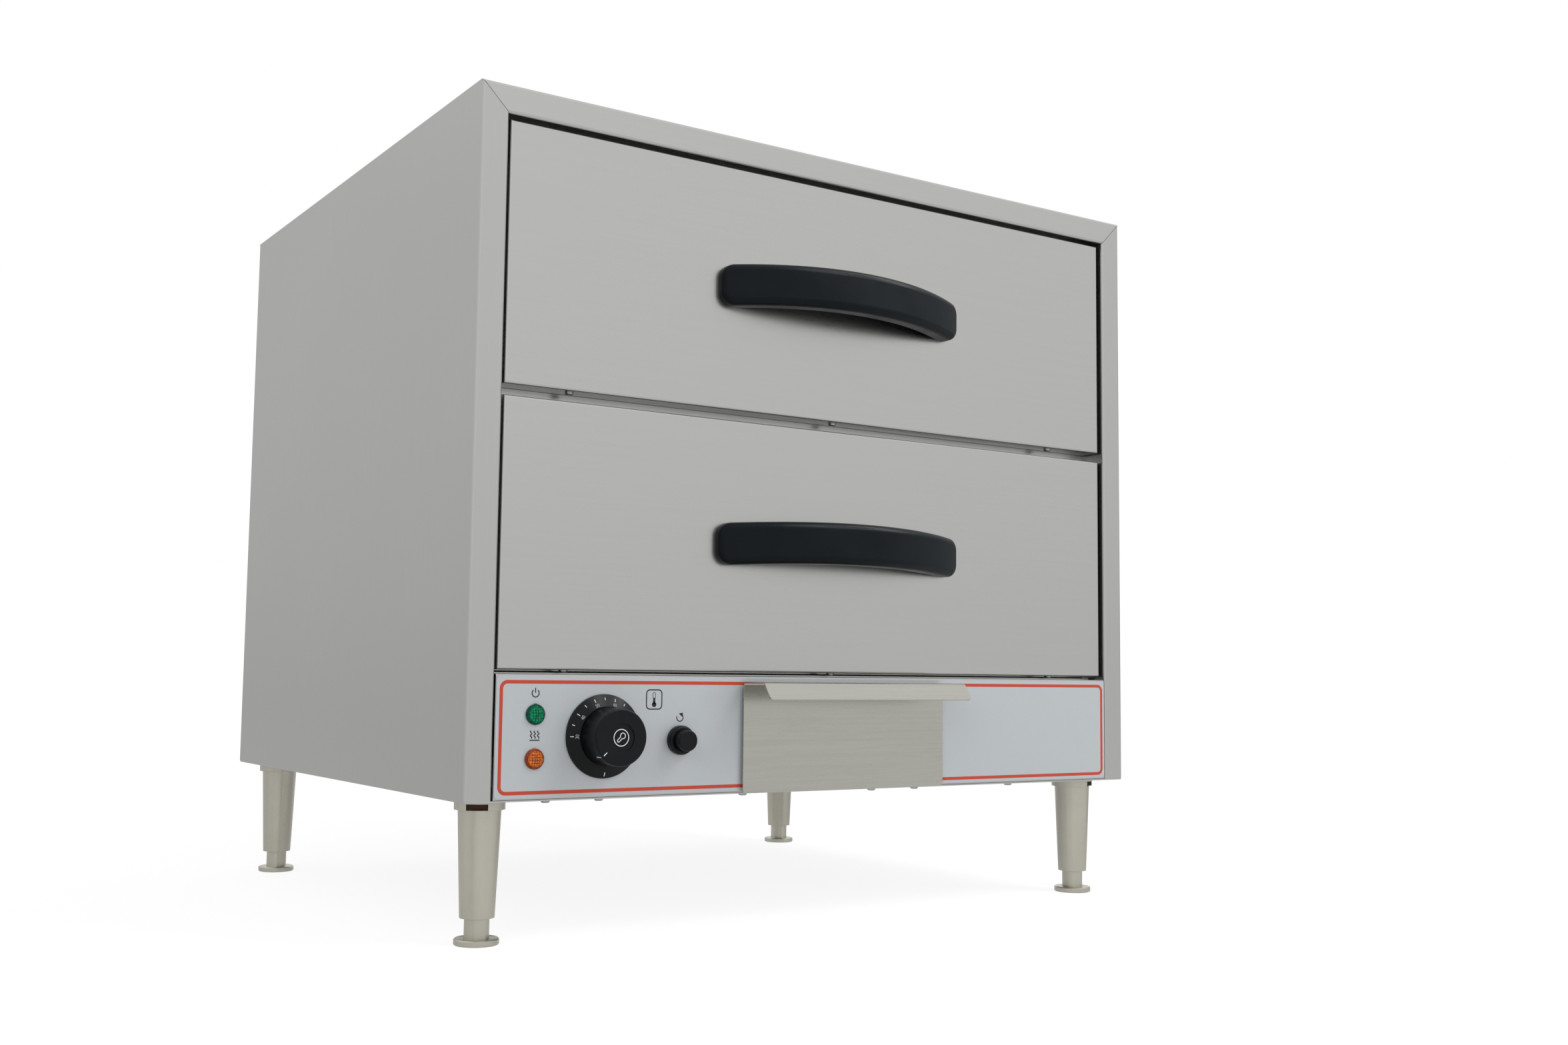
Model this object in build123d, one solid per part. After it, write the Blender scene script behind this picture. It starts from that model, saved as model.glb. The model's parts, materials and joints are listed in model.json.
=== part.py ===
from build123d import *
import os
from math import cos, radians, sin

# A countertop warming drawer: two pan drawers in an insulated steel cabinet on four levelling legs,
# with a control panel and a water tray below the drawers.
# Lengths are millimetres and angles are degrees. X runs to the right, Y to the back and Z up.
# The pieces are laid out from the middle of the front frame's lower edge. At the end they are moved
# together, so that the origin is the middle of the floor under the whole object.

# ---- cabinet shell ----
CABINET_WIDTH = 700.0
CABINET_HEIGHT = 562.0
CABINET_DEPTH = 603.0
SHEET = 1.2                 # outer sheet
BEND = 2.4                  # outside radius of a fold in the outer sheet
FRAME_FACE = 23.3           # width of the front frame seen from the front
FRAME_RETURN = 27.0         # how far the frame turns back into the cabinet
REAR_FLANGE = 18.0
MITRE_GAP = 0.5             # open seam between the frame's mitred ends
BACK_SHEET = 1.0
BACK_MARGIN = 3.0           # rim of the cabinet left clear round the back panel
BASE_FLANGE = 15.0
BASE_MARGIN = 1.0           # base sheet set in from the body's outline
FIT = 0.3                   # clearance between pieces that are fitted together

# ---- lining and insulation ----
INSULATION = 26.0
LINER_SHEET = 0.8
LINER_FLANGE = 14.0
DECK_FLANGE = 10.0

# ---- front openings, from the bottom up ----
PANEL_TOP = 97.0
PANEL_SIDE_GAP = 1.0
PANEL_BEND = 1.5
PANEL_RETURN = 24.0
OVERLAY_THICKNESS = 0.4
OVERLAY_MARGIN = 0.5
OVERLAY_CORNER = 3.0
LOWER_GAP = 3.4             # control panel to lower drawer
LOWER_FRONT_HEIGHT = 214.4
MIDDLE_GAP = 9.0            # lower drawer to upper drawer
DRAWER_GAP = 3.2            # drawer to frame
RAIL_LAP = 9.0
RAIL_RISE = 15.0
MIDDLE_RAIL_HEIGHT = 27.0
MIDDLE_RAIL_FLANGE = 25.0

# ---- drawer fronts ----
DRAWER_RECESS = 4.0
FRONT_DEPTH = 22.0
FRONT_SHEET = 1.0
FRONT_BEND = 1.8
FRONT_FLANGE = 16.0         # rim of the inner skin, turned forward
FRONT_CLEARANCE = 1.0       # closed drawer front to the rails behind it
FRONT_SCREW_SPACING = 262.5
FRONT_SCREW_SET = 9.5       # screw row behind the drawer face

# ---- handles ----
HANDLE_LENGTH = 260.0
HANDLE_HEIGHT = 36.0
HANDLE_REACH = 43.0
HANDLE_THICKNESS = 18.0
HANDLE_END_DEPTH = 7.5      # straight end face beside the drawer front
HANDLE_END_ROUND = 12.0
HANDLE_EDGE_ROUND = 6.5
HANDLE_INNER_ROUND = 2.5
HANDLE_ARCH = 4.0           # middle of the grip above its ends
HANDLE_X = 2.5              # handle right of the drawer's middle
HANDLE_RISE = 0.0           # handle ends above the drawer's middle
HANDLE_SCREW_SPACING = 226.0
HANDLE_SCREW_DEPTH = 12.0

# ---- pans and the frames that carry them ----
PAN_LENGTH = 530.0
PAN_WIDTH = 325.0
PAN_BELOW = 35.7            # room from the pan's floor to the lower edge of the shallower front
PAN_RIM = 12.0
PAN_SHEET = 0.8
PAN_CORNER = 48.0
PAN_RIM_CORNER = 22.0
PAN_FLOOR_ROUND = 14.0
PAN_TAPER = 2.0
PAN_DROP = 26.0             # rim below the top of the drawer front
PAN_SET = 16.0              # rim behind the drawer front
PAN_FIT = 1.5
CARRIER_LENGTH = 470.0
CARRIER_SKIRT = 50.0

# ---- telescopic slides ----
SLIDE_LENGTH = 450.0
SLIDE_WIDTH = 13.0
SLIDE_HEIGHT = 36.0
SLIDE_SHEET = 1.2
SLIDE_FIT = 0.4
SLIDE_BEND = 1.6
SLIDE_SET = 14.0            # slide behind the back of the drawer front
SLIDE_DROP = 28.0           # slide centre below the pan's rim
SLIDE_FLANGE = 10.0

# ---- heating elements ----
ELEMENT_RADIUS = 4.0
ELEMENT_GAP = 14.0          # element to the pan above it
ELEMENT_HALF_WIDTH = 230.0
ELEMENT_FRONT = 110.0
ELEMENT_TURN = 500.0
ELEMENT_BEND = 30.0
ELEMENT_TAIL = 14.0         # end that stands out behind the rear lining
ELEMENT_HOLE_FIT = 0.6
STRAP_SHEET = 1.5
STRAP_WIDTH = 20.0
STRAP_TAB = 12.0
STRAP_PLACES = (170.0, 440.0)

# ---- controls ----
LAMP_SIDE = 57.8            # lamps from the left side of the cabinet
GREEN_LAMP_Z = 65.7
AMBER_LAMP_Z = 31.4
LAMP_RADIUS = 8.0
LAMP_RIM = 1.4
LAMP_RISE = 4.2
LAMP_BODY_RADIUS = 6.0
LAMP_BODY_LENGTH = 26.0
DIAL_SIDE = 117.7
DIAL_Z = 48.3
BEZEL_RADIUS = 33.3
BEZEL_RIM = 1.8
BEZEL_TOP_RADIUS = 23.8
BEZEL_RISE = 6.5
KNOB_RADIUS = 23.0
KNOB_FACE_RADIUS = 22.6
KNOB_LENGTH = 24.0
KNOB_ROUND = 1.5
KNOB_DISH_RADIUS = 11.5
KNOB_DISH_DEPTH = 0.8
KNOB_CLEARANCE = 0.5
SPINDLE_RADIUS = 3.0
SPINDLE_GRIP = 16.0
SPINDLE_TAIL = 20.0
BUSH_RADIUS = 5.0
RUNNING_FIT = 0.05          # radial clearance of a shaft that turns or slides
THERMOSTAT_SIZE = 42.0
THERMOSTAT_DEPTH = 32.0
CAPILLARY_RADIUS = 1.0
CAPILLARY_BEND = 12.0
BULB_RADIUS = 3.0
BULB_LENGTH = 90.0
RESET_SIDE = 188.3
RESET_Z = 44.3
RESET_RING_RADIUS = 11.9
RESET_RING_RISE = 6.0
RESET_CAP_RADIUS = 8.6
RESET_CAP_FACE = 15.0
RESET_CAP_LENGTH = 11.0
RESET_STEM_RADIUS = 3.0
RESET_STEM_LENGTH = 18.0
RESET_NECK_RADIUS = 7.0
RESET_BORE_FIT = 0.1
LIMITER_SIZE = 30.0
LIMITER_DEPTH = 30.0
TERMINAL_BLOCK = (64.0, 24.0, 22.0)
TERMINAL_SIDE = 150.0       # block from the right side of the cabinet
TERMINAL_SET = 70.0         # block in front of the back panel
TERMINAL_COUNT = 5

# ---- water tray ----
TRAY_X = 6.9
TRAY_FRONT_WIDTH = 216.6
TRAY_FRONT_BOTTOM = -0.3
TRAY_SHELF_Z = 91.2
TRAY_SHELF_DEPTH = 30.0
TRAY_LIP_REACH = 10.0
TRAY_LIP_DROP = 13.5
TRAY_PROUD = 3.5
TRAY_BEND = 1.5
TRAY_CORNER = 3.5
TRAY_PAN_WIDTH = 204.0
TRAY_PAN_LENGTH = 300.0
TRAY_PAN_DEPTH = 45.0
TRAY_PAN_BOTTOM = 12.0
TRAY_PAN_SHEET = 1.0
TRAY_PAN_CORNER = 8.0
TRAY_SLOT_FIT = 2.0
GUIDE_START = 45.0
GUIDE_LENGTH = 285.0
GUIDE_FOOT = 12.0
GUIDE_HEIGHT = 28.0
GUIDE_SIDE_FIT = 0.5

# ---- back of the cabinet ----
BACK_SCREW_ROWS = 5
VENT_COUNT = 14
VENT_WIDTH = 5.0
VENT_HEIGHT = 42.0
VENT_PITCH = 24.0
VENT_X = -60.0
VENT_Z = 50.0
GLAND_SIDE = 100.0          # gland from the right side of the cabinet
GLAND_Z = 45.0
GLAND_BORE = 4.5
GLAND_THREAD = 10.0
GLAND_HEX = 14.0
GLAND_HEX_LENGTH = 6.0
GLAND_CAP_RADIUS = 11.5
GLAND_CAP_LENGTH = 16.0

# ---- legs ----
LEG_HEIGHT = 113.0
LEG_SIDE_INSET = 30.7
LEG_FRONT_INSET = 39.0
LEG_REAR_INSET = 42.4
LEG_FLANGE_RADIUS = 20.0
LEG_FLANGE = 8.9            # lower face of the flange, below the skins
LEG_TOP_RADIUS = 17.0
LEG_BOTTOM_RADIUS = 13.7
LEG_TUBE_LENGTH = 92.3
LEG_NOTCH_WIDTH = 17.0
LEG_NOTCH_HEIGHT = 5.0
LEG_NOTCH_DEPTH = 6.0
LEG_NOTCH_ANGLE = 60.0      # notch turned from straight sideways towards the front or back
LEG_STUD_RADIUS = 5.0
LEG_STUD_LENGTH = 12.0
LEG_NUT_RADIUS = 9.8
LEG_NUT_HEIGHT = 8.0
FOOT_RADIUS = 17.7
FOOT_THICKNESS = 5.0
FOOT_CHAMFER = 0.8
FOOT_STEM_RADIUS = 9.85
FOOT_STEM_HOLD = 31.0       # stem held inside the tube
FOOT_STEM_ROOM = 20.0       # empty bore above the stem

# ---- screws ----
SCREW_RADIUS = 2.0
SCREW_HEAD_RADIUS = 3.6
SCREW_HEAD_HEIGHT = 2.2
SCREW_HEAD_ROUND = 1.2
SCREW_LENGTH = 9.0
SCREW_FIT = 0.3
BASE_SCREW_PLACES = (-277.0, -230.0, -93.0, 44.0, 93.0, 207.0)
BASE_SCREW_SET = 10.0

# ---- places worked out from the sizes above ----
HALF_WIDTH = CABINET_WIDTH / 2
OPENING_HALF = HALF_WIDTH - FRAME_FACE
OPENING_TOP = CABINET_HEIGHT - FRAME_FACE
SKIN_INSIDE = HALF_WIDTH - SHEET
LINER_HALF = SKIN_INSIDE - INSULATION - LINER_SHEET
LINER_TOP = CABINET_HEIGHT - SHEET - INSULATION - LINER_SHEET
LINER_REAR = CABINET_DEPTH - SHEET - INSULATION - LINER_SHEET
PANEL_FACE = OVERLAY_THICKNESS
PANEL_BACK = PANEL_FACE + SHEET
PANEL_HALF = OPENING_HALF - PANEL_SIDE_GAP
DECK_Z = PANEL_TOP + SHEET
FRONT_HALF = OPENING_HALF - DRAWER_GAP
FRONT_BACK = DRAWER_RECESS + FRONT_DEPTH
LOWER_BOTTOM = PANEL_TOP + LOWER_GAP
LOWER_TOP = LOWER_BOTTOM + LOWER_FRONT_HEIGHT
UPPER_BOTTOM = LOWER_TOP + MIDDLE_GAP
UPPER_TOP = OPENING_TOP - DRAWER_GAP
PAN_DEPTH = min(LOWER_FRONT_HEIGHT, UPPER_TOP - UPPER_BOTTOM) - PAN_DROP - PAN_BELOW
RAIL_FACE = FRONT_BACK + FRONT_CLEARANCE
CARRIER_HALF = LINER_HALF - SLIDE_WIDTH
SLIDE_Y = FRONT_BACK + SLIDE_SET
PAN_Y = FRONT_BACK + PAN_SET + PAN_WIDTH / 2
FRONT_SCREW_Y = DRAWER_RECESS + FRONT_SCREW_SET
BACK_FACE = CABINET_DEPTH + BACK_SHEET
LEG_ROOM = LEG_NUT_HEIGHT + LEG_STUD_LENGTH
LAMP_X = LAMP_SIDE - HALF_WIDTH
DIAL_X = DIAL_SIDE - HALF_WIDTH
RESET_X = RESET_SIDE - HALF_WIDTH
TERMINAL_X = HALF_WIDTH - TERMINAL_SIDE
GLAND_X = HALF_WIDTH - GLAND_SIDE
CAPILLARY_X = DIAL_X - THERMOSTAT_SIZE / 4
CAPILLARY_Y = PANEL_BACK + THERMOSTAT_DEPTH + 2 * CAPILLARY_BEND
BULB_Z = DECK_Z + DECK_FLANGE
TRAY_FACE = -TRAY_PROUD
TRAY_BACK = TRAY_FACE + SHEET
DRAWERS = {"lower": (LOWER_BOTTOM, LOWER_TOP), "upper": (UPPER_BOTTOM, UPPER_TOP)}
LAMPS = {"green": GREEN_LAMP_Z, "amber": AMBER_LAMP_Z}
LEGS = {
    "front_left": (-HALF_WIDTH + LEG_SIDE_INSET, LEG_FRONT_INSET),
    "front_right": (HALF_WIDTH - LEG_SIDE_INSET, LEG_FRONT_INSET),
    "rear_left": (-HALF_WIDTH + LEG_SIDE_INSET, CABINET_DEPTH - LEG_REAR_INSET),
    "rear_right": (HALF_WIDTH - LEG_SIDE_INSET, CABINET_DEPTH - LEG_REAR_INSET),
}


# ---- general forms ----
def block(x, y, z):
    """Box between a low and a high limit on each axis."""
    middle = [(low + high) / 2 for low, high in (x, y, z)]
    size = [high - low for low, high in (x, y, z)]
    return Pos(*middle) * Box(*size)


def along_x(section, low, high):
    """Section drawn in (Y, Z), run from low to high in X."""
    return extrude(Plane.YZ.offset(low) * section, high - low, dir=(1, 0, 0))


def along_y(section, low, high):
    """Section drawn in (X, Z), run from low to high in Y."""
    return extrude(Plane.XZ.offset(-low) * section, high - low, dir=(0, 1, 0))


def along_z(section, low, high):
    """Section drawn in (X, Y), run from low to high in Z."""
    return extrude(Plane.XY.offset(low) * section, high - low, dir=(0, 0, 1))


def folded(points, bend=BEND, sheet=SHEET):
    """Section of a folded sheet: the points follow one face, with the metal on their left."""
    path = FilletPolyline(*points, radius=bend)
    return make_face(offset(path, sheet, side=Side.LEFT))


def round_y(x, z, radius, low, high):
    """Round bar along Y."""
    return along_y(Pos(x, z) * Circle(radius), low, high)


def round_z(x, y, radius, low, high):
    """Round bar along Z."""
    return along_z(Pos(x, y) * Circle(radius), low, high)


def turned_y(x, z, outline):
    """Solid turned about a Y axis at x, z, from an outline of (radius, y) points."""
    face = make_face(Polyline(*outline, close=True))
    return Pos(x, 0, z) * revolve(face, Axis.Y)


def turned_z(x, y, outline):
    """Solid turned about a Z axis at x, y, from an outline of (radius, z) points."""
    face = Plane.XZ * make_face(Polyline(*outline, close=True))
    return Pos(x, y, 0) * revolve(face, Axis.Z)


def both_sides(solid):
    """A piece and its mirror image on the other side of the cabinet."""
    return [solid, mirror(solid, about=Plane.YZ)]


def rounded_box_y(x, z, width, height, corner, low, high):
    """Bar along Y with a rounded rectangular section."""
    return along_y(Pos(x, z) * RectangleRounded(width, height, corner), low, high)


# ---- screws ----
def screw_at(place):
    """Pan-head screw: its head stands on the place's XY plane, its shank goes down."""
    head = Pos(0, 0, SCREW_HEAD_HEIGHT / 2) * Cylinder(SCREW_HEAD_RADIUS, SCREW_HEAD_HEIGHT)
    head = fillet(head.edges().group_by(Axis.Z)[-1], SCREW_HEAD_ROUND)
    shank = Pos(0, 0, -SCREW_LENGTH / 2) * Cylinder(SCREW_RADIUS, SCREW_LENGTH)
    return place * (head + shank)


def screw_hole(place, depth=SCREW_LENGTH):
    """Clearance hole for a screw at the same place."""
    return place * Pos(0, 0, -depth / 2) * Cylinder(SCREW_RADIUS + SCREW_FIT, depth + 2 * SHEET)


def facing_down(x, y, z):
    """Place whose screw head is seen from below."""
    return Pos(x, y, z) * Rot(180, 0, 0)


def facing_back(x, y, z):
    """Place whose screw head is seen from behind."""
    return Pos(x, y, z) * Rot(-90, 0, 0)


def base_screw_places():
    return [facing_down(x, BASE_SCREW_SET, -SHEET) for x in BASE_SCREW_PLACES]


def back_screw_places():
    """Rows of screws that hold the back panel to the cabinet's rear flanges."""
    column = HALF_WIDTH - REAR_FLANGE / 2
    low = 2 * REAR_FLANGE
    step = (CABINET_HEIGHT - 2 * low) / (BACK_SCREW_ROWS - 1)
    rows = [low + step * row for row in range(BACK_SCREW_ROWS)]
    return [facing_back(x, BACK_FACE, z) for x in (-column, column) for z in rows]


def front_screw_places(bottom):
    """Screws under a drawer front that join its two skins."""
    columns = (-FRONT_SCREW_SPACING, 0, FRONT_SCREW_SPACING)
    return [facing_down(x, FRONT_SCREW_Y, bottom) for x in columns]


def handle_screw_places(middle):
    """Screws inside a drawer front that hold its handle."""
    skin_back = DRAWER_RECESS + FRONT_SHEET
    half = HANDLE_SCREW_SPACING / 2
    return [facing_back(x, skin_back, middle) for x in (HANDLE_X - half, HANDLE_X + half)]


# ---- cabinet shell ----
def side_panel():
    """Left side: skin, front frame flange with its return, and rear flange."""
    rear_inside = -HALF_WIDTH + REAR_FLANGE
    points = [
        (rear_inside, CABINET_DEPTH),
        (-HALF_WIDTH, CABINET_DEPTH),
        (-HALF_WIDTH, 0),
        (-OPENING_HALF, 0),
        (-OPENING_HALF, FRAME_RETURN),
    ]
    panel = along_z(folded(points), 0, CABINET_HEIGHT - SHEET)
    beyond = FRAME_FACE + SHEET
    wedge = Polygon(
        (-SKIN_INSIDE, CABINET_HEIGHT - SHEET - MITRE_GAP),
        (-HALF_WIDTH + beyond, CABINET_HEIGHT - beyond - MITRE_GAP),
        (-HALF_WIDTH + beyond, CABINET_HEIGHT),
        (-SKIN_INSIDE, CABINET_HEIGHT),
        align=None,
    )
    panel -= along_y(wedge, -SHEET, FRAME_RETURN + SHEET)
    corner_x = (-SKIN_INSIDE, rear_inside + SHEET)
    corner_y = (CABINET_DEPTH - 2 * SHEET, CABINET_DEPTH + SHEET)
    panel -= block(corner_x, corner_y, (CABINET_HEIGHT - REAR_FLANGE - FIT, CABINET_HEIGHT))
    for place in back_screw_places()[:BACK_SCREW_ROWS]:
        panel -= screw_hole(place)
    return panel


def top_panel():
    """Top sheet with the frame's top flange and its return, mitred to the sides."""
    points = [
        (CABINET_DEPTH, CABINET_HEIGHT - REAR_FLANGE),
        (CABINET_DEPTH, CABINET_HEIGHT),
        (0, CABINET_HEIGHT),
        (0, OPENING_TOP),
        (FRAME_RETURN, OPENING_TOP),
    ]
    panel = along_x(folded(points), -HALF_WIDTH, HALF_WIDTH)
    beyond = FRAME_FACE + SHEET
    under_sheet = CABINET_HEIGHT - SHEET
    corner = Polygon(
        (-HALF_WIDTH - SHEET, under_sheet),
        (-SKIN_INSIDE, under_sheet),
        (-HALF_WIDTH + beyond, CABINET_HEIGHT - beyond),
        (-HALF_WIDTH - SHEET, CABINET_HEIGHT - beyond),
        align=None,
    )
    for cut in both_sides(along_y(corner, -SHEET, FRAME_RETURN + SHEET)):
        panel -= cut
    rear_end = block(
        (-HALF_WIDTH - SHEET, -SKIN_INSIDE),
        (FRAME_RETURN, CABINET_DEPTH + SHEET),
        (OPENING_TOP, under_sheet),
    )
    for cut in both_sides(rear_end):
        panel -= cut
    return panel


def bottom_panel():
    """Base sheet under the body, with upright flanges inside the skins and holes for the legs."""
    half = HALF_WIDTH - BASE_MARGIN
    panel = block((-half, half), (BASE_MARGIN, CABINET_DEPTH - BASE_MARGIN), (-SHEET, 0))
    rear = CABINET_DEPTH - SHEET
    side_y = (FRAME_RETURN + SHEET, rear - BEND)
    side = block((-SKIN_INSIDE, -SKIN_INSIDE + SHEET), side_y, (0, BASE_FLANGE))
    for flange in both_sides(side):
        panel += flange
    clear = SKIN_INSIDE - BEND
    panel += block((-clear, clear), (rear - SHEET, rear), (0, BASE_FLANGE))
    for x, y in LEGS.values():
        panel -= round_z(x, y, LEG_STUD_RADIUS + FIT, -2 * SHEET, SHEET)
    for place in base_screw_places():
        panel -= screw_hole(place)
    return panel


def vent_slots():
    """Row of upright slots that let air through the back of the control space."""
    first = VENT_X - VENT_PITCH * (VENT_COUNT - 1) / 2
    slots = []
    for number in range(VENT_COUNT):
        slot = SlotOverall(VENT_HEIGHT, VENT_WIDTH, rotation=90)
        outline = Pos(first + VENT_PITCH * number, VENT_Z) * slot
        slots.append(along_y(outline, CABINET_DEPTH - SHEET, BACK_FACE + SHEET))
    return slots


def back_panel():
    """Flat sheet screwed over the rear flanges, with vents and the cable gland's hole."""
    half = HALF_WIDTH - BACK_MARGIN
    panel = block((-half, half), (CABINET_DEPTH, BACK_FACE), (BACK_MARGIN, CABINET_HEIGHT - BACK_MARGIN))
    for slot in vent_slots():
        panel -= slot
    panel -= round_y(GLAND_X, GLAND_Z, GLAND_THREAD + FIT, CABINET_DEPTH - SHEET, BACK_FACE + SHEET)
    for place in back_screw_places():
        panel -= screw_hole(place)
    return panel


# ---- control panel ----
def control_openings(low, high):
    """What is cut through both the control panel and its overlay."""
    holes = [round_y(LAMP_X, z, LAMP_BODY_RADIUS + FIT, low, high) for z in LAMPS.values()]
    holes.append(round_y(DIAL_X, DIAL_Z, BUSH_RADIUS + FIT, low, high))
    holes.append(round_y(RESET_X, RESET_Z, RESET_NECK_RADIUS + FIT, low, high))
    slot_half = TRAY_PAN_WIDTH / 2 + TRAY_SLOT_FIT
    slot_top = TRAY_PAN_BOTTOM + TRAY_PAN_DEPTH + TRAY_SLOT_FIT
    slot_z = (TRAY_PAN_BOTTOM - TRAY_SLOT_FIT, slot_top)
    holes.append(block((TRAY_X - slot_half, TRAY_X + slot_half), (low, high), slot_z))
    return holes


def control_panel():
    """Folded front sheet below the drawers, turned back at its top and bottom."""
    points = [
        (PANEL_RETURN, PANEL_TOP),
        (PANEL_FACE, PANEL_TOP),
        (PANEL_FACE, 0),
        (PANEL_RETURN, 0),
    ]
    panel = along_x(folded(points, bend=PANEL_BEND), -PANEL_HALF, PANEL_HALF)
    for hole in control_openings(0, 2 * SHEET):
        panel -= hole
    for place in base_screw_places():
        panel -= screw_hole(place)
    return panel


def panel_overlay():
    """Thin printed film on the control panel."""
    bottom = PANEL_BEND
    top = PANEL_TOP - PANEL_BEND
    width = 2 * (PANEL_HALF - OVERLAY_MARGIN)
    film = rounded_box_y(0, (bottom + top) / 2, width, top - bottom, OVERLAY_CORNER, 0, OVERLAY_THICKNESS)
    for hole in control_openings(-SHEET, SHEET):
        film -= hole
    return film


# ---- rails, lining and insulation ----
def middle_rail():
    """Channel across the cabinet behind the gap between the drawers."""
    middle = (LOWER_TOP + UPPER_BOTTOM) / 2
    top = middle + MIDDLE_RAIL_HEIGHT / 2
    bottom = middle - MIDDLE_RAIL_HEIGHT / 2
    back = RAIL_FACE + MIDDLE_RAIL_FLANGE
    points = [(back, top), (RAIL_FACE, top), (RAIL_FACE, bottom), (back, bottom)]
    return along_x(folded(points), -LINER_HALF, LINER_HALF)


def lower_rail():
    """Angle that rests on the control panel's return and holds the deck's front edge."""
    points = [(RAIL_FACE, DECK_Z + RAIL_RISE), (RAIL_FACE, DECK_Z), (RAIL_FACE - RAIL_LAP, DECK_Z)]
    return along_x(folded(points, bend=PANEL_BEND), -LINER_HALF, LINER_HALF)


def liner_wrap():
    """Inner walls and ceiling in one sheet, with flanges that meet the frame's returns."""
    outside = LINER_HALF + LINER_SHEET
    roof = LINER_TOP + LINER_SHEET
    points = [(outside, 0), (outside, roof), (-outside, roof), (-outside, 0)]
    wrap = along_y(folded(points, sheet=LINER_SHEET), FRAME_RETURN, LINER_REAR + LINER_SHEET)
    side = block(
        (-outside - LINER_FLANGE, -LINER_HALF),
        (FRAME_RETURN, FRAME_RETURN + LINER_SHEET),
        (LEG_ROOM, roof),
    )
    for flange in both_sides(side):
        wrap += flange
    front_y = (FRAME_RETURN, FRAME_RETURN + LINER_SHEET)
    wrap += block((-LINER_HALF, LINER_HALF), front_y, (LINER_TOP, roof + LINER_FLANGE))
    room = LEG_NUT_RADIUS + SHEET
    for x, y in LEGS.values():
        wrap -= block((x - room, x + room), (y - room, y + room), (-SHEET, LEG_ROOM))
    return wrap


def element_height(rim):
    """Height of the element's centre line below a pan with its rim at this height."""
    return rim - PAN_DEPTH - ELEMENT_GAP - ELEMENT_RADIUS


def rear_liner():
    """Back wall of the heated space, with holes for the elements' ends."""
    wall = block((-LINER_HALF, LINER_HALF), (LINER_REAR, LINER_REAR + LINER_SHEET), (DECK_Z, LINER_TOP))
    wall = fillet(wall.edges().filter_by(Axis.Y).group_by(Axis.Z)[-1], BEND - LINER_SHEET)
    radius = ELEMENT_RADIUS + ELEMENT_HOLE_FIT
    for bottom, top in DRAWERS.values():
        z = element_height(top - PAN_DROP)
        for x in (-ELEMENT_HALF_WIDTH, ELEMENT_HALF_WIDTH):
            wall -= round_y(x, z, radius, LINER_REAR - SHEET, LINER_REAR + 2 * SHEET)
    return wall


def deck_plate():
    """Floor of the heated space, turned up at its sides and front."""
    rail_back = RAIL_FACE + SHEET
    rise = DECK_Z + DECK_FLANGE
    points = [(-LINER_HALF, rise), (-LINER_HALF, DECK_Z), (LINER_HALF, DECK_Z), (LINER_HALF, rise)]
    deck = along_y(folded(points, bend=PANEL_BEND, sheet=LINER_SHEET), rail_back, LINER_REAR)
    clear = LINER_HALF - PANEL_BEND
    deck += block((-clear, clear), (rail_back, rail_back + LINER_SHEET), (DECK_Z, rise))
    deck -= round_z(CAPILLARY_X, CAPILLARY_Y, CAPILLARY_RADIUS + FIT, DECK_Z - SHEET, DECK_Z + SHEET)
    return deck


def insulation_blankets():
    """Blankets between the lining and the shell: two sides, top and back."""
    front = FRAME_RETURN + LINER_SHEET
    back = CABINET_DEPTH - SHEET
    clear_back = back - SCREW_LENGTH
    liner_outside = LINER_HALF + LINER_SHEET
    roof = LINER_TOP + LINER_SHEET
    side = block((-SKIN_INSIDE, -liner_outside), (front, clear_back), (BASE_FLANGE, roof))
    top = block((-SKIN_INSIDE, SKIN_INSIDE), (front, clear_back), (roof, CABINET_HEIGHT - SHEET))
    rear_half = ELEMENT_HALF_WIDTH - ELEMENT_BEND / 2
    rear = block((-rear_half, rear_half), (LINER_REAR + LINER_SHEET, back), (DECK_Z, LINER_TOP))
    return both_sides(side) + [top, rear]


# ---- heating ----
def heating_element(rim):
    """Tubular element in three loops under a pan, with its ends through the rear lining."""
    inner = ELEMENT_HALF_WIDTH / 3
    tail = LINER_REAR + LINER_SHEET + ELEMENT_TAIL
    points = [
        (-ELEMENT_HALF_WIDTH, tail),
        (-ELEMENT_HALF_WIDTH, ELEMENT_FRONT),
        (-inner, ELEMENT_FRONT),
        (-inner, ELEMENT_TURN),
        (inner, ELEMENT_TURN),
        (inner, ELEMENT_FRONT),
        (ELEMENT_HALF_WIDTH, ELEMENT_FRONT),
        (ELEMENT_HALF_WIDTH, tail),
    ]
    route = FilletPolyline(*points, radius=ELEMENT_BEND)
    start = Plane(origin=route @ 0, z_dir=route % 0)
    tube = sweep(start * Circle(ELEMENT_RADIUS), path=route)
    return Pos(0, 0, element_height(rim)) * tube


def element_straps():
    """Flat straps across the cabinet that carry both elements."""
    straps = []
    for bottom, top in DRAWERS.values():
        under = element_height(top - PAN_DROP) - ELEMENT_RADIUS - FIT - STRAP_SHEET
        points = [
            (-LINER_HALF, under + STRAP_TAB),
            (-LINER_HALF, under),
            (LINER_HALF, under),
            (LINER_HALF, under + STRAP_TAB),
        ]
        section = folded(points, sheet=STRAP_SHEET)
        straps += [along_y(section, y - STRAP_WIDTH / 2, y + STRAP_WIDTH / 2) for y in STRAP_PLACES]
    return straps


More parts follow.
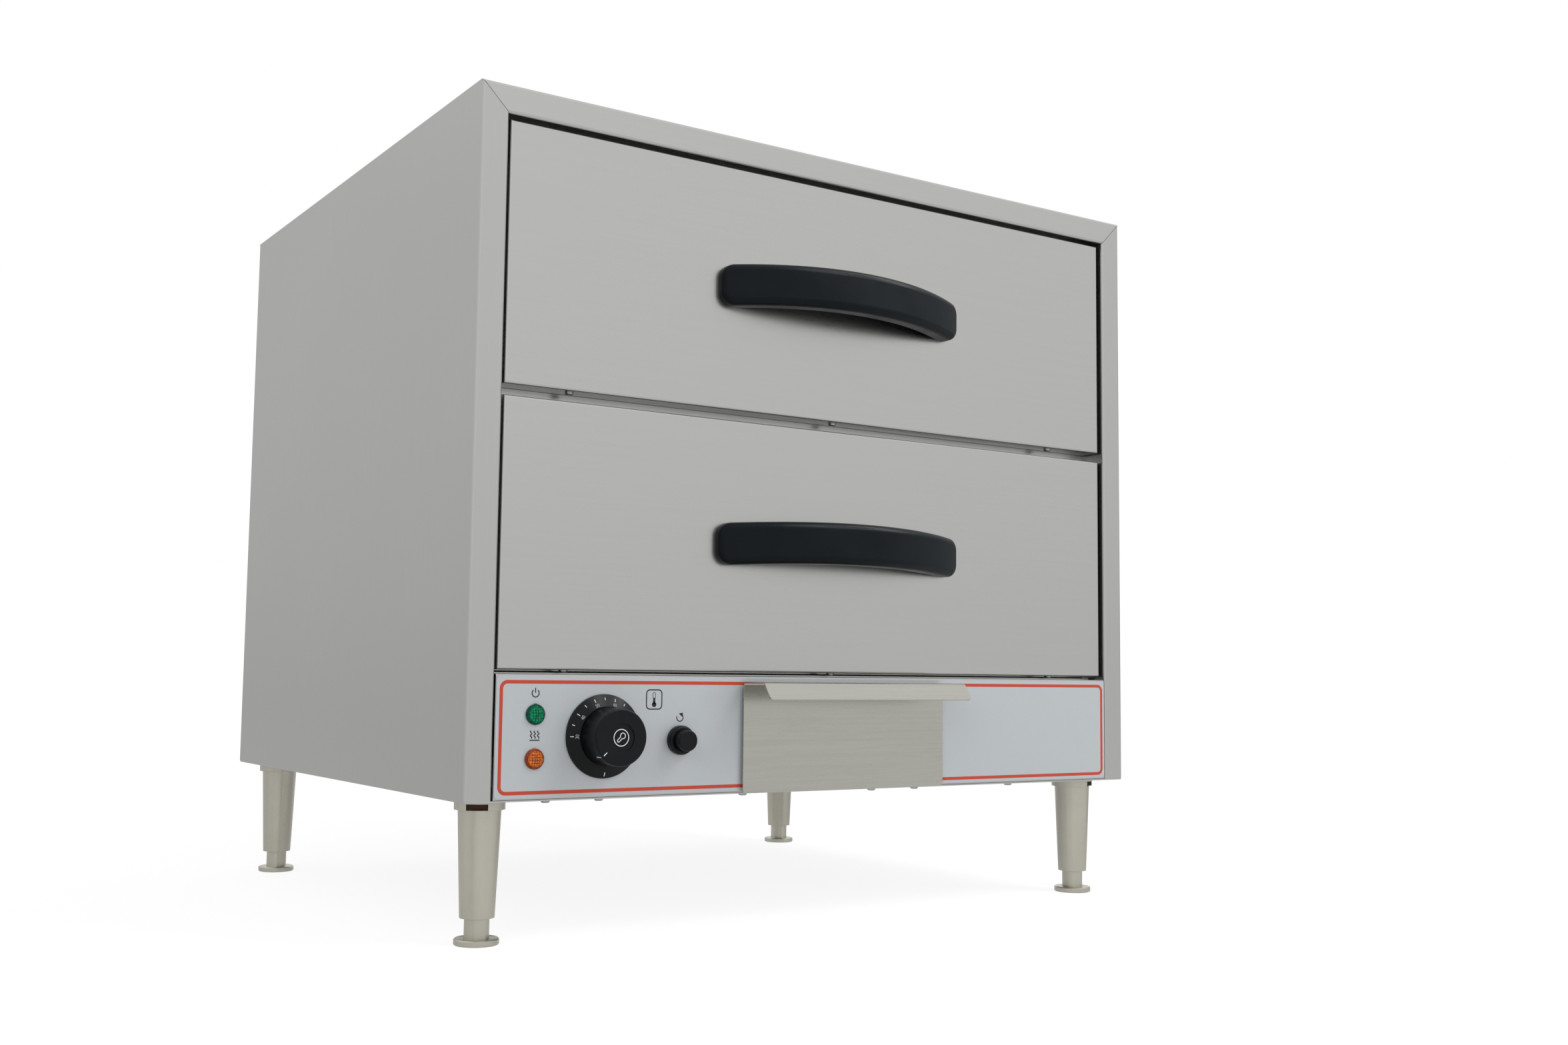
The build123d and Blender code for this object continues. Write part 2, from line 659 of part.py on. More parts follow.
# ---- slides ----
def slide_channel(web, tip, half_height, centre_z):
    """Channel section for the right side: its web at one X, its flange tips at another."""
    low, high = centre_z - half_height, centre_z + half_height
    if tip < web:
        points = [(tip, low), (web, low), (web, high), (tip, high)]
    else:
        points = [(tip, high), (web, high), (web, low), (tip, low)]
    section = folded(points, bend=SLIDE_BEND, sheet=SLIDE_SHEET)
    return both_sides(along_y(section, SLIDE_Y, SLIDE_Y + SLIDE_LENGTH))


def slide_step():
    """How far each slide member is nested inside the next one."""
    return SLIDE_SHEET + SLIDE_FIT


def fixed_rails(rim):
    return slide_channel(LINER_HALF, LINER_HALF - SLIDE_FLANGE, SLIDE_HEIGHT / 2, rim - SLIDE_DROP)


def slide_middles(rim):
    half = SLIDE_HEIGHT / 2 - slide_step()
    return slide_channel(LINER_HALF - slide_step(), CARRIER_HALF + slide_step(), half, rim - SLIDE_DROP)


def drawer_runners(rim):
    half = SLIDE_HEIGHT / 2 - 2 * slide_step()
    return slide_channel(CARRIER_HALF, LINER_HALF - 2 * slide_step(), half, rim - SLIDE_DROP)


# ---- drawers ----
def drawer_front(bottom, top):
    """Outer skin of a drawer front: a shallow folded box, open at the back."""
    depth = (DRAWER_RECESS, FRONT_BACK - FRONT_SHEET)
    skin = block((-FRONT_HALF, FRONT_HALF), depth, (bottom, top))
    skin = fillet(skin.faces().sort_by(Axis.Y)[0].edges(), FRONT_BEND)
    inside = block(
        (-FRONT_HALF + FRONT_SHEET, FRONT_HALF - FRONT_SHEET),
        (DRAWER_RECESS + FRONT_SHEET, FRONT_BACK),
        (bottom + FRONT_SHEET, top - FRONT_SHEET),
    )
    inside = fillet(inside.faces().sort_by(Axis.Y)[0].edges(), FRONT_BEND - FRONT_SHEET)
    skin -= inside
    for place in front_screw_places(bottom) + handle_screw_places(handle_middle(bottom, top)):
        skin -= screw_hole(place)
    return skin


def front_liner(bottom, top):
    """Inner skin that closes the back of a drawer front."""
    plate = block((-FRONT_HALF, FRONT_HALF), (FRONT_BACK - FRONT_SHEET, FRONT_BACK), (bottom, top))
    wall = FRONT_HALF - FRONT_SHEET
    rim_y = (FRONT_BACK - FRONT_FLANGE, FRONT_BACK)
    low, high = bottom + FRONT_SHEET, top - FRONT_SHEET
    rim = block((-wall, wall), rim_y, (low, high))
    inner = wall - FRONT_SHEET
    rim -= block((-inner, inner), rim_y, (low + FRONT_SHEET, high - FRONT_SHEET))
    skin = plate + rim
    for place in front_screw_places(bottom):
        skin -= screw_hole(place)
    return skin


def handle_middle(bottom, top):
    return (bottom + top) / 2 + HANDLE_RISE


def arc_radius(half, rise):
    """Radius of an arc from half its chord and its rise."""
    return (half ** 2 + rise ** 2) / (2 * rise)


def handle_band():
    """Handle seen from the front: a band that arches a little between square ends."""
    arch = arc_radius(HANDLE_LENGTH / 2, HANDLE_ARCH)
    band = Circle(arch + HANDLE_HEIGHT / 2) - Circle(arch - HANDLE_HEIGHT / 2)
    band = Pos(0, HANDLE_ARCH - arch) * band
    return band & Rectangle(2 * HANDLE_LENGTH, 4 * HANDLE_HEIGHT)


def round_faces(solid):
    return solid.faces().filter_by(GeomType.CYLINDER).sort_by(SortBy.AREA)


def handle(bottom, top):
    """Bow handle: arcs in plan, an arched front with rounded ends, softened edges."""
    reach_y = DRAWER_RECESS - HANDLE_REACH
    radius = arc_radius(HANDLE_LENGTH / 2, HANDLE_REACH - HANDLE_END_DEPTH)
    centre = reach_y + radius
    plan = Pos(0, centre) * Circle(radius)
    plan &= Pos(0, (DRAWER_RECESS + reach_y) / 2) * Rectangle(HANDLE_LENGTH, HANDLE_REACH)
    bow = along_z(plan, -HANDLE_HEIGHT, HANDLE_HEIGHT)
    bow &= along_y(handle_band(), reach_y - HANDLE_EDGE_ROUND, DRAWER_RECESS)
    bow = fillet(bow.edges().filter_by(Axis.Y), HANDLE_END_ROUND)
    front_face = bow.faces().filter_by(GeomType.CYLINDER).sort_by(Axis.Y)[0]
    bow = fillet(front_face.edges(), HANDLE_EDGE_ROUND)
    bow -= along_z(Pos(0, centre) * Circle(radius - HANDLE_THICKNESS), -HANDLE_HEIGHT, HANDLE_HEIGHT)
    inner_radius = radius - HANDLE_THICKNESS
    hollow = [face for face in round_faces(bow) if abs(face.radius - inner_radius) < FIT][-1]
    rims = hollow.edges().filter_by(lambda edge: edge.length > HANDLE_LENGTH / 2)
    bow = Pos(HANDLE_X, 0, handle_middle(bottom, top)) * fillet(rims, HANDLE_INNER_ROUND)
    for place in handle_screw_places(handle_middle(bottom, top)):
        bow -= screw_hole(place, HANDLE_SCREW_DEPTH)
    return bow


def pan_outline(inset):
    """Outline of the pan's body at its rim, drawn in by an inset."""
    length = PAN_LENGTH - 2 * PAN_RIM - 2 * inset
    width = PAN_WIDTH - 2 * PAN_RIM - 2 * inset
    return Pos(0, PAN_Y) * RectangleRounded(length, width, PAN_CORNER - inset)


def pan_body(rim, inset, depth):
    """Tapered body of the pan with a rounded floor edge."""
    body = extrude(Plane.XY.offset(rim) * pan_outline(inset), amount=-depth, taper=PAN_TAPER)
    return fillet(body.faces().sort_by(Axis.Z)[0].edges(), PAN_FLOOR_ROUND - inset)


def pan(rim):
    """Deep steel pan that hangs by its rim."""
    edge = Pos(0, PAN_Y) * RectangleRounded(PAN_LENGTH, PAN_WIDTH, PAN_RIM_CORNER)
    shell = along_z(edge, rim, rim + PAN_SHEET)
    shell += pan_body(rim, 0, PAN_DEPTH)
    shell -= pan_body(rim, PAN_SHEET, PAN_DEPTH - PAN_SHEET)
    return shell - along_z(pan_outline(PAN_SHEET), rim, rim + SHEET)


def pan_carrier(rim):
    """Sheet frame behind the drawer front: the pan hangs in it and the runners are on its skirts."""
    low = rim - CARRIER_SKIRT
    back = FRONT_BACK + CARRIER_LENGTH
    points = [(CARRIER_HALF, low), (CARRIER_HALF, rim), (-CARRIER_HALF, rim), (-CARRIER_HALF, low)]
    frame = along_y(folded(points), FRONT_BACK, back)
    clear = CARRIER_HALF - BEND
    for y in (FRONT_BACK, back - SHEET):
        frame += block((-clear, clear), (y, y + SHEET), (low, rim - SHEET / 2))
    return frame - along_z(pan_outline(-PAN_FIT), rim - 2 * SHEET, rim + SHEET)


# ---- controls ----
def lamp(z):
    """Pilot lamp: rim, domed lens and the body behind the panel."""
    dome = LAMP_RADIUS - LAMP_RIM
    outline = [
        (0, LAMP_BODY_LENGTH),
        (LAMP_BODY_RADIUS, LAMP_BODY_LENGTH),
        (LAMP_BODY_RADIUS, 0),
        (LAMP_RADIUS, 0),
        (LAMP_RADIUS, -LAMP_RIM),
        (dome, -2 * LAMP_RIM),
        (dome / 2, -LAMP_RISE + LAMP_RIM / 3),
        (0, -LAMP_RISE),
    ]
    return turned_y(LAMP_X, z, outline)


def dial_bezel():
    """Sloping ring that carries the scale."""
    bore = BUSH_RADIUS + FIT
    outline = [
        (bore, 0),
        (BEZEL_RADIUS, 0),
        (BEZEL_RADIUS, -BEZEL_RIM),
        (BEZEL_TOP_RADIUS, -BEZEL_RISE),
        (bore, -BEZEL_RISE),
    ]
    return turned_y(DIAL_X, DIAL_Z, outline)


def thermostat_knob():
    """Round knob with a dished face."""
    back = -BEZEL_RISE - KNOB_CLEARANCE
    face = back - KNOB_LENGTH
    outline = [(0, back), (KNOB_RADIUS, back), (KNOB_FACE_RADIUS, face), (0, face)]
    knob = turned_y(0, 0, outline)
    knob = fillet(knob.edges().group_by(Axis.Y)[0], KNOB_ROUND)
    knob -= round_y(0, 0, KNOB_DISH_RADIUS, face - SHEET, face + KNOB_DISH_DEPTH)
    knob -= round_y(0, 0, SPINDLE_RADIUS + RUNNING_FIT, back - SPINDLE_GRIP, back + SHEET)
    return Pos(DIAL_X, 0, DIAL_Z) * knob


def thermostat_spindle():
    """Shaft from the knob into the thermostat."""
    back = -BEZEL_RISE - KNOB_CLEARANCE
    return round_y(DIAL_X, DIAL_Z, SPINDLE_RADIUS, back - SPINDLE_GRIP, SPINDLE_TAIL)


def thermostat_body():
    """Thermostat behind the panel, with its threaded bush through the panel."""
    body = rounded_box_y(
        DIAL_X, DIAL_Z, THERMOSTAT_SIZE, THERMOSTAT_SIZE, BEND, PANEL_BACK, PANEL_BACK + THERMOSTAT_DEPTH
    )
    body += round_y(DIAL_X, DIAL_Z, BUSH_RADIUS, -BEZEL_RISE + FIT, PANEL_BACK)
    bore = SPINDLE_RADIUS + RUNNING_FIT
    return body - round_y(DIAL_X, DIAL_Z, bore, -BEZEL_RISE - SHEET, SPINDLE_TAIL + FIT)


def thermostat_bulb():
    """Capillary tube from the thermostat through the deck, with its sensing bulb beside the element."""
    start = PANEL_BACK + THERMOSTAT_DEPTH
    bulb_start = CAPILLARY_Y + 2 * CAPILLARY_BEND
    points = [
        (CAPILLARY_X, start, DIAL_Z),
        (CAPILLARY_X, CAPILLARY_Y, DIAL_Z),
        (CAPILLARY_X, CAPILLARY_Y, BULB_Z),
        (CAPILLARY_X, bulb_start, BULB_Z),
    ]
    route = FilletPolyline(*points, radius=CAPILLARY_BEND / 2)
    section = Plane(origin=route @ 0, z_dir=route % 0) * Circle(CAPILLARY_RADIUS)
    bulb = round_y(CAPILLARY_X, BULB_Z, BULB_RADIUS, bulb_start, bulb_start + BULB_LENGTH)
    return sweep(section, path=route) + bulb


def reset_ring():
    """Ring nut round the reset button."""
    bore = RESET_CAP_RADIUS + RESET_BORE_FIT
    ring = round_y(RESET_X, RESET_Z, RESET_RING_RADIUS, -RESET_RING_RISE, 0)
    ring = fillet(ring.edges().group_by(Axis.Y)[0], RESET_RING_RISE / 3)
    return ring - round_y(RESET_X, RESET_Z, bore, -RESET_RING_RISE - SHEET, SHEET)


def reset_button():
    """Cap and stem of the high-limit reset."""
    cap_back = -RESET_CAP_FACE + RESET_CAP_LENGTH
    cap = round_y(RESET_X, RESET_Z, RESET_CAP_RADIUS, -RESET_CAP_FACE, cap_back)
    cap = fillet(cap.edges().group_by(Axis.Y)[0], SHEET)
    return cap + round_y(RESET_X, RESET_Z, RESET_STEM_RADIUS, cap_back, RESET_STEM_LENGTH)


def limiter_body():
    """High-limit thermostat behind the panel, with the neck that the ring nut holds."""
    body = rounded_box_y(
        RESET_X, RESET_Z, LIMITER_SIZE, LIMITER_SIZE, BEND, PANEL_BACK, PANEL_BACK + LIMITER_DEPTH
    )
    body += round_y(RESET_X, RESET_Z, RESET_NECK_RADIUS, 0, PANEL_BACK)
    bore = RESET_STEM_RADIUS + RUNNING_FIT
    return body - round_y(RESET_X, RESET_Z, bore, -SHEET, PANEL_BACK + LIMITER_DEPTH - BEND)


def terminal_block():
    """Mains terminal block on the base, with a row of wire entries."""
    length, depth, height = TERMINAL_BLOCK
    y = CABINET_DEPTH - TERMINAL_SET
    body = block((TERMINAL_X - length / 2, TERMINAL_X + length / 2), (y, y + depth), (0, height))
    pitch = length / TERMINAL_COUNT
    for number in range(TERMINAL_COUNT):
        x = TERMINAL_X + pitch * (number - (TERMINAL_COUNT - 1) / 2)
        body -= round_z(x, y + depth / 2, pitch / 4, height / 2, height)
        body -= round_y(x, height / 3, pitch / 5, y + 2 * depth / 3, y + depth)
    return body


def cable_gland():
    """Gland in the back panel: cap, hexagon and thread, and the lock nut inside."""
    outer = BACK_FACE + GLAND_HEX_LENGTH
    hexagon = Pos(GLAND_X, GLAND_Z) * RegularPolygon(GLAND_HEX, 6)
    body = along_y(hexagon, BACK_FACE, outer)
    cap = round_y(GLAND_X, GLAND_Z, GLAND_CAP_RADIUS, outer, outer + GLAND_CAP_LENGTH)
    body += fillet(cap.edges().group_by(Axis.Y)[-1], BEND)
    inner = CABINET_DEPTH - GLAND_HEX_LENGTH
    body += round_y(GLAND_X, GLAND_Z, GLAND_THREAD, inner, BACK_FACE)
    body -= round_y(GLAND_X, GLAND_Z, GLAND_BORE, inner - SHEET, outer + GLAND_CAP_LENGTH + SHEET)
    nut = along_y(hexagon, inner, CABINET_DEPTH)
    nut -= round_y(GLAND_X, GLAND_Z, GLAND_THREAD + FIT, inner - SHEET, CABINET_DEPTH + SHEET)
    return [body, nut]


# ---- water tray ----
def tray_front():
    """Front plate of the water tray, folded forward into a shelf and a downward lip."""
    shelf_edge = TRAY_FACE - TRAY_SHELF_DEPTH
    lip = (shelf_edge - TRAY_LIP_REACH, TRAY_SHELF_Z - TRAY_LIP_DROP)
    points = [lip, (shelf_edge, TRAY_SHELF_Z), (TRAY_FACE, TRAY_SHELF_Z), (TRAY_FACE, TRAY_FRONT_BOTTOM)]
    half = TRAY_FRONT_WIDTH / 2
    plate = along_x(folded(points, bend=TRAY_BEND), TRAY_X - half, TRAY_X + half)
    foot_edges = plate.edges().filter_by(Axis.Y).group_by(Axis.Z)[0]
    plate = fillet(foot_edges, TRAY_CORNER)
    lip_edges = plate.edges().filter_by(lambda edge: edge.center().Y < shelf_edge - SHEET)
    return fillet(lip_edges.filter_by(lambda edge: edge.length < 2 * SHEET), TRAY_CORNER)


def tray_pan():
    """Open water pan fixed behind the tray's front plate."""
    y = (TRAY_BACK, TRAY_BACK + TRAY_PAN_LENGTH)
    half = TRAY_PAN_WIDTH / 2
    top = TRAY_PAN_BOTTOM + TRAY_PAN_DEPTH
    centre = Pos(TRAY_X, (y[0] + y[1]) / 2)
    outer = centre * RectangleRounded(2 * half, TRAY_PAN_LENGTH, TRAY_PAN_CORNER)
    wall = TRAY_PAN_SHEET
    inside = (2 * (half - wall), TRAY_PAN_LENGTH - 2 * wall)
    inner = centre * RectangleRounded(*inside, TRAY_PAN_CORNER - wall)
    body = along_z(outer, TRAY_PAN_BOTTOM, top)
    return body - along_z(inner, TRAY_PAN_BOTTOM + wall, top + wall)


def tray_guides():
    """Pair of guides on the base: foot, upright and the ledge that the pan slides on."""
    y = (GUIDE_START, GUIDE_START + GUIDE_LENGTH)
    wall = TRAY_PAN_WIDTH / 2 + GUIDE_SIDE_FIT
    ledge = TRAY_PAN_BOTTOM - FIT
    guides = []
    for side in (-1, 1):
        inside = TRAY_X + side * wall
        outside = inside + side * SHEET
        foot = outside + side * GUIDE_FOOT
        tip = inside - side * GUIDE_FOOT
        guide = block(sorted((inside, outside)), y, (0, GUIDE_HEIGHT))
        guide += block(sorted((outside, foot)), y, (0, SHEET))
        guide += block(sorted((inside, tip)), y, (ledge - SHEET, ledge))
        guides.append(guide)
    return guides


# ---- legs ----
def leg_notch(x, y):
    """Slot for a spanner in the leg's flange, on the side towards the cabinet's outside corner."""
    from_side = LEG_NOTCH_ANGLE if x > 0 else 180 - LEG_NOTCH_ANGLE
    angle = from_side if y > CABINET_DEPTH / 2 else -from_side
    cut = Box(LEG_NOTCH_DEPTH, LEG_NOTCH_WIDTH, LEG_NOTCH_HEIGHT)
    reach = LEG_FLANGE_RADIUS - LEG_NOTCH_DEPTH / 2 + SHEET / 2
    middle = LEG_NOTCH_HEIGHT / 2 - LEG_FLANGE
    place = Pos(x + reach * cos(radians(angle)), y + reach * sin(radians(angle)), middle)
    return place * Rot(0, 0, angle) * cut


def leg_tube(x, y):
    """Tapered leg with its flange under the cabinet and its stud through the base."""
    bore = FOOT_STEM_RADIUS + RUNNING_FIT
    bore_top = -LEG_TUBE_LENGTH + FOOT_STEM_HOLD + FOOT_STEM_ROOM
    outline = [
        (0, LEG_STUD_LENGTH),
        (LEG_STUD_RADIUS, LEG_STUD_LENGTH),
        (LEG_STUD_RADIUS, -SHEET),
        (LEG_FLANGE_RADIUS, -SHEET),
        (LEG_FLANGE_RADIUS, -LEG_FLANGE),
        (LEG_TOP_RADIUS, -LEG_FLANGE),
        (LEG_BOTTOM_RADIUS, -LEG_TUBE_LENGTH),
        (bore, -LEG_TUBE_LENGTH),
        (bore, bore_top),
        (0, bore_top),
    ]
    return turned_z(x, y, outline) - leg_notch(x, y)


def leg_nuts():
    """Nuts on the leg studs, inside the cabinet."""
    nuts = []
    for x, y in LEGS.values():
        nut = along_z(Pos(x, y) * RegularPolygon(LEG_NUT_RADIUS, 6), 0, LEG_NUT_HEIGHT)
        nuts.append(nut - round_z(x, y, LEG_STUD_RADIUS + FIT, -SHEET, LEG_NUT_HEIGHT + SHEET))
    return nuts


def foot(x, y):
    """Levelling foot: disc and the stem that screws into the leg."""
    disc_top = -LEG_HEIGHT + FOOT_THICKNESS
    disc = round_z(x, y, FOOT_RADIUS, -LEG_HEIGHT, disc_top)
    disc = chamfer(disc.edges(), FOOT_CHAMFER)
    return disc + round_z(x, y, FOOT_STEM_RADIUS, disc_top, -LEG_TUBE_LENGTH + FOOT_STEM_HOLD)


# ---- the whole object ----
def cabinet_parts():
    left, right = both_sides(side_panel())
    parts = {
        "left_side_panel": left,
        "right_side_panel": right,
        "top_panel": top_panel(),
        "bottom_panel": bottom_panel(),
        "back_panel": back_panel(),
        "control_panel": control_panel(),
        "panel_overlay": panel_overlay(),
        "middle_rail": middle_rail(),
        "lower_rail": lower_rail(),
        "liner_wrap": liner_wrap(),
        "rear_liner": rear_liner(),
        "deck_plate": deck_plate(),
        "insulation_blankets": insulation_blankets(),
        "element_straps": element_straps(),
        "thermostat_body": thermostat_body(),
        "thermostat_bulb": thermostat_bulb(),
        "limiter_body": limiter_body(),
        "terminal_block": terminal_block(),
        "dial_bezel": dial_bezel(),
        "reset_ring": reset_ring(),
        "tray_guides": tray_guides(),
        "cable_gland": cable_gland(),
        "leg_nuts": leg_nuts(),
        "cabinet_screws": [screw_at(place) for place in base_screw_places() + back_screw_places()],
    }
    for colour, z in LAMPS.items():
        parts[colour + "_lamp"] = lamp(z)
    return parts


def drawer_parts(name, bottom, top):
    """Everything that belongs to one drawer, with its slides and its element."""
    rim = top - PAN_DROP
    middle = handle_middle(bottom, top)
    screws = front_screw_places(bottom) + handle_screw_places(middle)
    pieces = {
        "drawer_front": drawer_front(bottom, top),
        "front_liner": front_liner(bottom, top),
        "handle": handle(bottom, top),
        "drawer_screws": [screw_at(place) for place in screws],
        "pan_carrier": pan_carrier(rim),
        "pan": pan(rim),
        "drawer_runners": drawer_runners(rim),
        "slide_middles": slide_middles(rim),
        "slide_rails": fixed_rails(rim),
        "heating_element": heating_element(rim),
    }
    return {name + "_" + piece: solid for piece, solid in pieces.items()}


def moving_parts():
    parts = {
        "thermostat_knob": thermostat_knob(),
        "thermostat_spindle": thermostat_spindle(),
        "reset_button": reset_button(),
        "tray_front": tray_front(),
        "tray_pan": tray_pan(),
    }
    for corner, (x, y) in LEGS.items():
        parts["leg_" + corner] = leg_tube(x, y)
        parts["foot_" + corner] = foot(x, y)
    return parts


def all_parts():
    parts = cabinet_parts()
    for name, (bottom, top) in DRAWERS.items():
        parts.update(drawer_parts(name, bottom, top))
    parts.update(moving_parts())
    return {name: solid if isinstance(solid, list) else [solid] for name, solid in parts.items()}


PARTS = all_parts()
LIMITS = Compound([solid for solids in PARTS.values() for solid in solids]).bounding_box()
ORIGIN_X = (LIMITS.min.X + LIMITS.max.X) / 2
ORIGIN_Y = (LIMITS.min.Y + LIMITS.max.Y) / 2
TO_ORIGIN = Pos(-ORIGIN_X, -ORIGIN_Y, LEG_HEIGHT)

os.makedirs("parts", exist_ok=True)
for part_name, part_solids in PARTS.items():
    moved = [TO_ORIGIN * solid for solid in part_solids]
    export_step(moved[0] if len(moved) == 1 else Compound(moved), "parts/" + part_name + ".step")
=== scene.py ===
"""Looks of a countertop warming drawer: finishes, printed panel, dial, lamps, screws and studio."""
import json
import math

import bpy
from mathutils import Matrix, Vector


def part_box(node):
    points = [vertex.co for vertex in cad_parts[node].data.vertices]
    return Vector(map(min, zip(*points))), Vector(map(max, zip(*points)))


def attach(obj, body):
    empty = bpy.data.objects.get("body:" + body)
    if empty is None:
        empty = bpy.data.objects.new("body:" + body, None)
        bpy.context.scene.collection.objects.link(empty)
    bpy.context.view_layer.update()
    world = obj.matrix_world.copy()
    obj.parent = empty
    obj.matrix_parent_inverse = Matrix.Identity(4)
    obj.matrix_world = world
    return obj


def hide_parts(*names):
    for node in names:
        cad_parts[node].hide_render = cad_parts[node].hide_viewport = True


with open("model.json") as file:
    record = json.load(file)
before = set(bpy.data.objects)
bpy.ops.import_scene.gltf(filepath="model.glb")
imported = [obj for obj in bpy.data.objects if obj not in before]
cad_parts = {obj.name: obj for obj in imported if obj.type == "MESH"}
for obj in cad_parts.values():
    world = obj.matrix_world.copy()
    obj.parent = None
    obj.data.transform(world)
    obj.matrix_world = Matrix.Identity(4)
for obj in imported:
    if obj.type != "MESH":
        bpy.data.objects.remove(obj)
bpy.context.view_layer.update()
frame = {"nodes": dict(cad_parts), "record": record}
nodes = frame["nodes"]
record = frame["record"]
slot_of = {part["node"]: part["material_slot"] for part in record["subparts"]}
body_of = {
    node: body for body, members in record["behaviour"]["bodies"].items() for node in members
}

MM = 0.001
MICRON = 0.000001


# ---- shader nodes ----
MIX_SOCKETS = {"FLOAT": (0, 2, 3, 0), "RGBA": (0, 6, 7, 2)}  # factor, both inputs and the output
BEVEL_SAMPLES = 4
NOISE_LOW, NOISE_HIGH = 0.3, 0.7  # usual range of a noise's values


def connect(tree, value, entry):
    """Feeds an input socket from an output socket, or sets it to a plain value."""
    if isinstance(value, bpy.types.NodeSocket):
        tree.links.new(value, entry)
    else:
        entry.default_value = value


def add_node(tree, kind, settings=None, **entries):
    """A new node with its settings, and with its inputs fed by name."""
    made = tree.nodes.new(kind)
    for setting, value in (settings or {}).items():
        setattr(made, setting, value)
    for socket, value in entries.items():
        connect(tree, value, made.inputs[socket.replace("_", " ")])
    return made


def arithmetic(tree, operation, *values):
    made = add_node(tree, "ShaderNodeMath", {"operation": operation})
    for entry, value in zip(made.inputs, values):
        connect(tree, value, entry)
    return made.outputs[0]


def mixed(tree, kind, factor, first, second):
    *entries, result = MIX_SOCKETS[kind]
    made = add_node(tree, "ShaderNodeMix", {"data_type": kind})
    for index, value in zip(entries, (factor, first, second)):
        connect(tree, value, made.inputs[index])
    return made.outputs[result]


def remapped(tree, value, **limits):
    return add_node(tree, "ShaderNodeMapRange", Value=value, **limits).outputs[0]


# ---- materials ----
class Finish:
    """A material with short calls for the nodes that the finishes below share."""

    def __init__(self, name, **settings):
        self.material = bpy.data.materials.new(name)
        self.material.use_nodes = True
        self.tree = self.material.node_tree
        self.shader = self.tree.nodes["Principled BSDF"]
        self.place = self.tree.nodes.new("ShaderNodeTexCoord").outputs["Object"]
        for socket, value in settings.items():
            self.feed(socket.replace("_", " "), value)

    def feed(self, socket, value):
        connect(self.tree, value, self.shader.inputs[socket])

    def noise(self, scale, stretch=(1, 1, 1), detail=3.0, roughness=0.55):
        """Noise of that scale, drawn out along the axes with a small stretch."""
        scales = [scale * part for part in stretch]
        spread = add_node(self.tree, "ShaderNodeMapping", Vector=self.place, Scale=scales)
        values = {"Scale": 1.0, "Detail": detail, "Roughness": roughness}
        made = add_node(self.tree, "ShaderNodeTexNoise", Vector=spread.outputs[0], **values)
        return made.outputs["Fac"]

    def cells(self, scale, feature="F1"):
        values = {"Vector": self.place, "Scale": scale}
        made = add_node(self.tree, "ShaderNodeTexVoronoi", {"feature": feature}, **values)
        return made.outputs["Distance"]

    def total(self, *parts):
        """Sum of values, each times its weight."""
        result = 0.0
        for value, weight in parts:
            result = arithmetic(self.tree, "MULTIPLY_ADD", value, weight, result)
        return result

    def colour(self, factor, first, second):
        self.feed("Base Color", mixed(self.tree, "RGBA", factor, (*first, 1), (*second, 1)))

    def roughness(self, factor, low, high):
        limits = {"From_Min": NOISE_LOW, "From_Max": NOISE_HIGH, "To_Min": low, "To_Max": high}
        self.feed("Roughness", remapped(self.tree, factor, **limits))

    def bumps(self, *layers, edge=0.0):
        """Layers of (height, depth in metres), over edges softened by that radius."""
        normal = None
        if edge:
            bevel = add_node(self.tree, "ShaderNodeBevel", {"samples": BEVEL_SAMPLES}, Radius=edge)
            normal = bevel.outputs[0]
        for height, depth in layers:
            values = {"Height": height, "Distance": depth, "Strength": 1.0}
            if normal:
                values["Normal"] = normal
            normal = add_node(self.tree, "ShaderNodeBump", **values).outputs[0]
        self.feed("Normal", normal)


def shade(colour, factor):
    return [min(1.0, part * factor) for part in colour]


def drawn_out(along, share):
    """Stretch of a noise that is drawn out along one axis."""
    return [share if axis == along else 1.0 for axis in "XYZ"]


def brushed(name, colour, along, rough=0.28, contrast=0.05):
    """Brushed sheet: short fine streaks along one axis, soft clouding and a slightly wavy face."""
    finish = Finish(name, Metallic=1.0, Anisotropic=0.3)
    streaks = finish.noise(1600.0, drawn_out(along, 0.03))
    bands = finish.noise(420.0, drawn_out(along, 0.02), detail=2.0)
    clouds = finish.noise(4.5)
    waves = finish.noise(3.2, detail=1.0)
    tone = finish.total((streaks, 0.35), (bands, 0.4), (clouds, 0.25))
    finish.colour(tone, shade(colour, 1 - contrast), shade(colour, 1 + contrast))
    finish.roughness(finish.total((streaks, 0.5), (clouds, 0.5)), rough - 0.03, rough + 0.05)
    finish.bumps((streaks, 1.5 * MICRON), (waves, 0.3 * MM), edge=0.25 * MM)
    return finish.material


def plated(name, colour, rough=0.32, spots=900.0):
    """Plated or cast metal: fine mottle, cloudy wear and softened edges."""
    finish = Finish(name, Metallic=1.0)
    mottle = finish.noise(spots, detail=4.0, roughness=0.65)
    wear = finish.noise(45.0, detail=4.0)
    finish.colour(wear, shade(colour, 0.86), shade(colour, 1.1))
    finish.roughness(mottle, rough - 0.05, rough + 0.09)
    finish.bumps((mottle, 20 * MICRON), edge=0.3 * MM)
    return finish.material


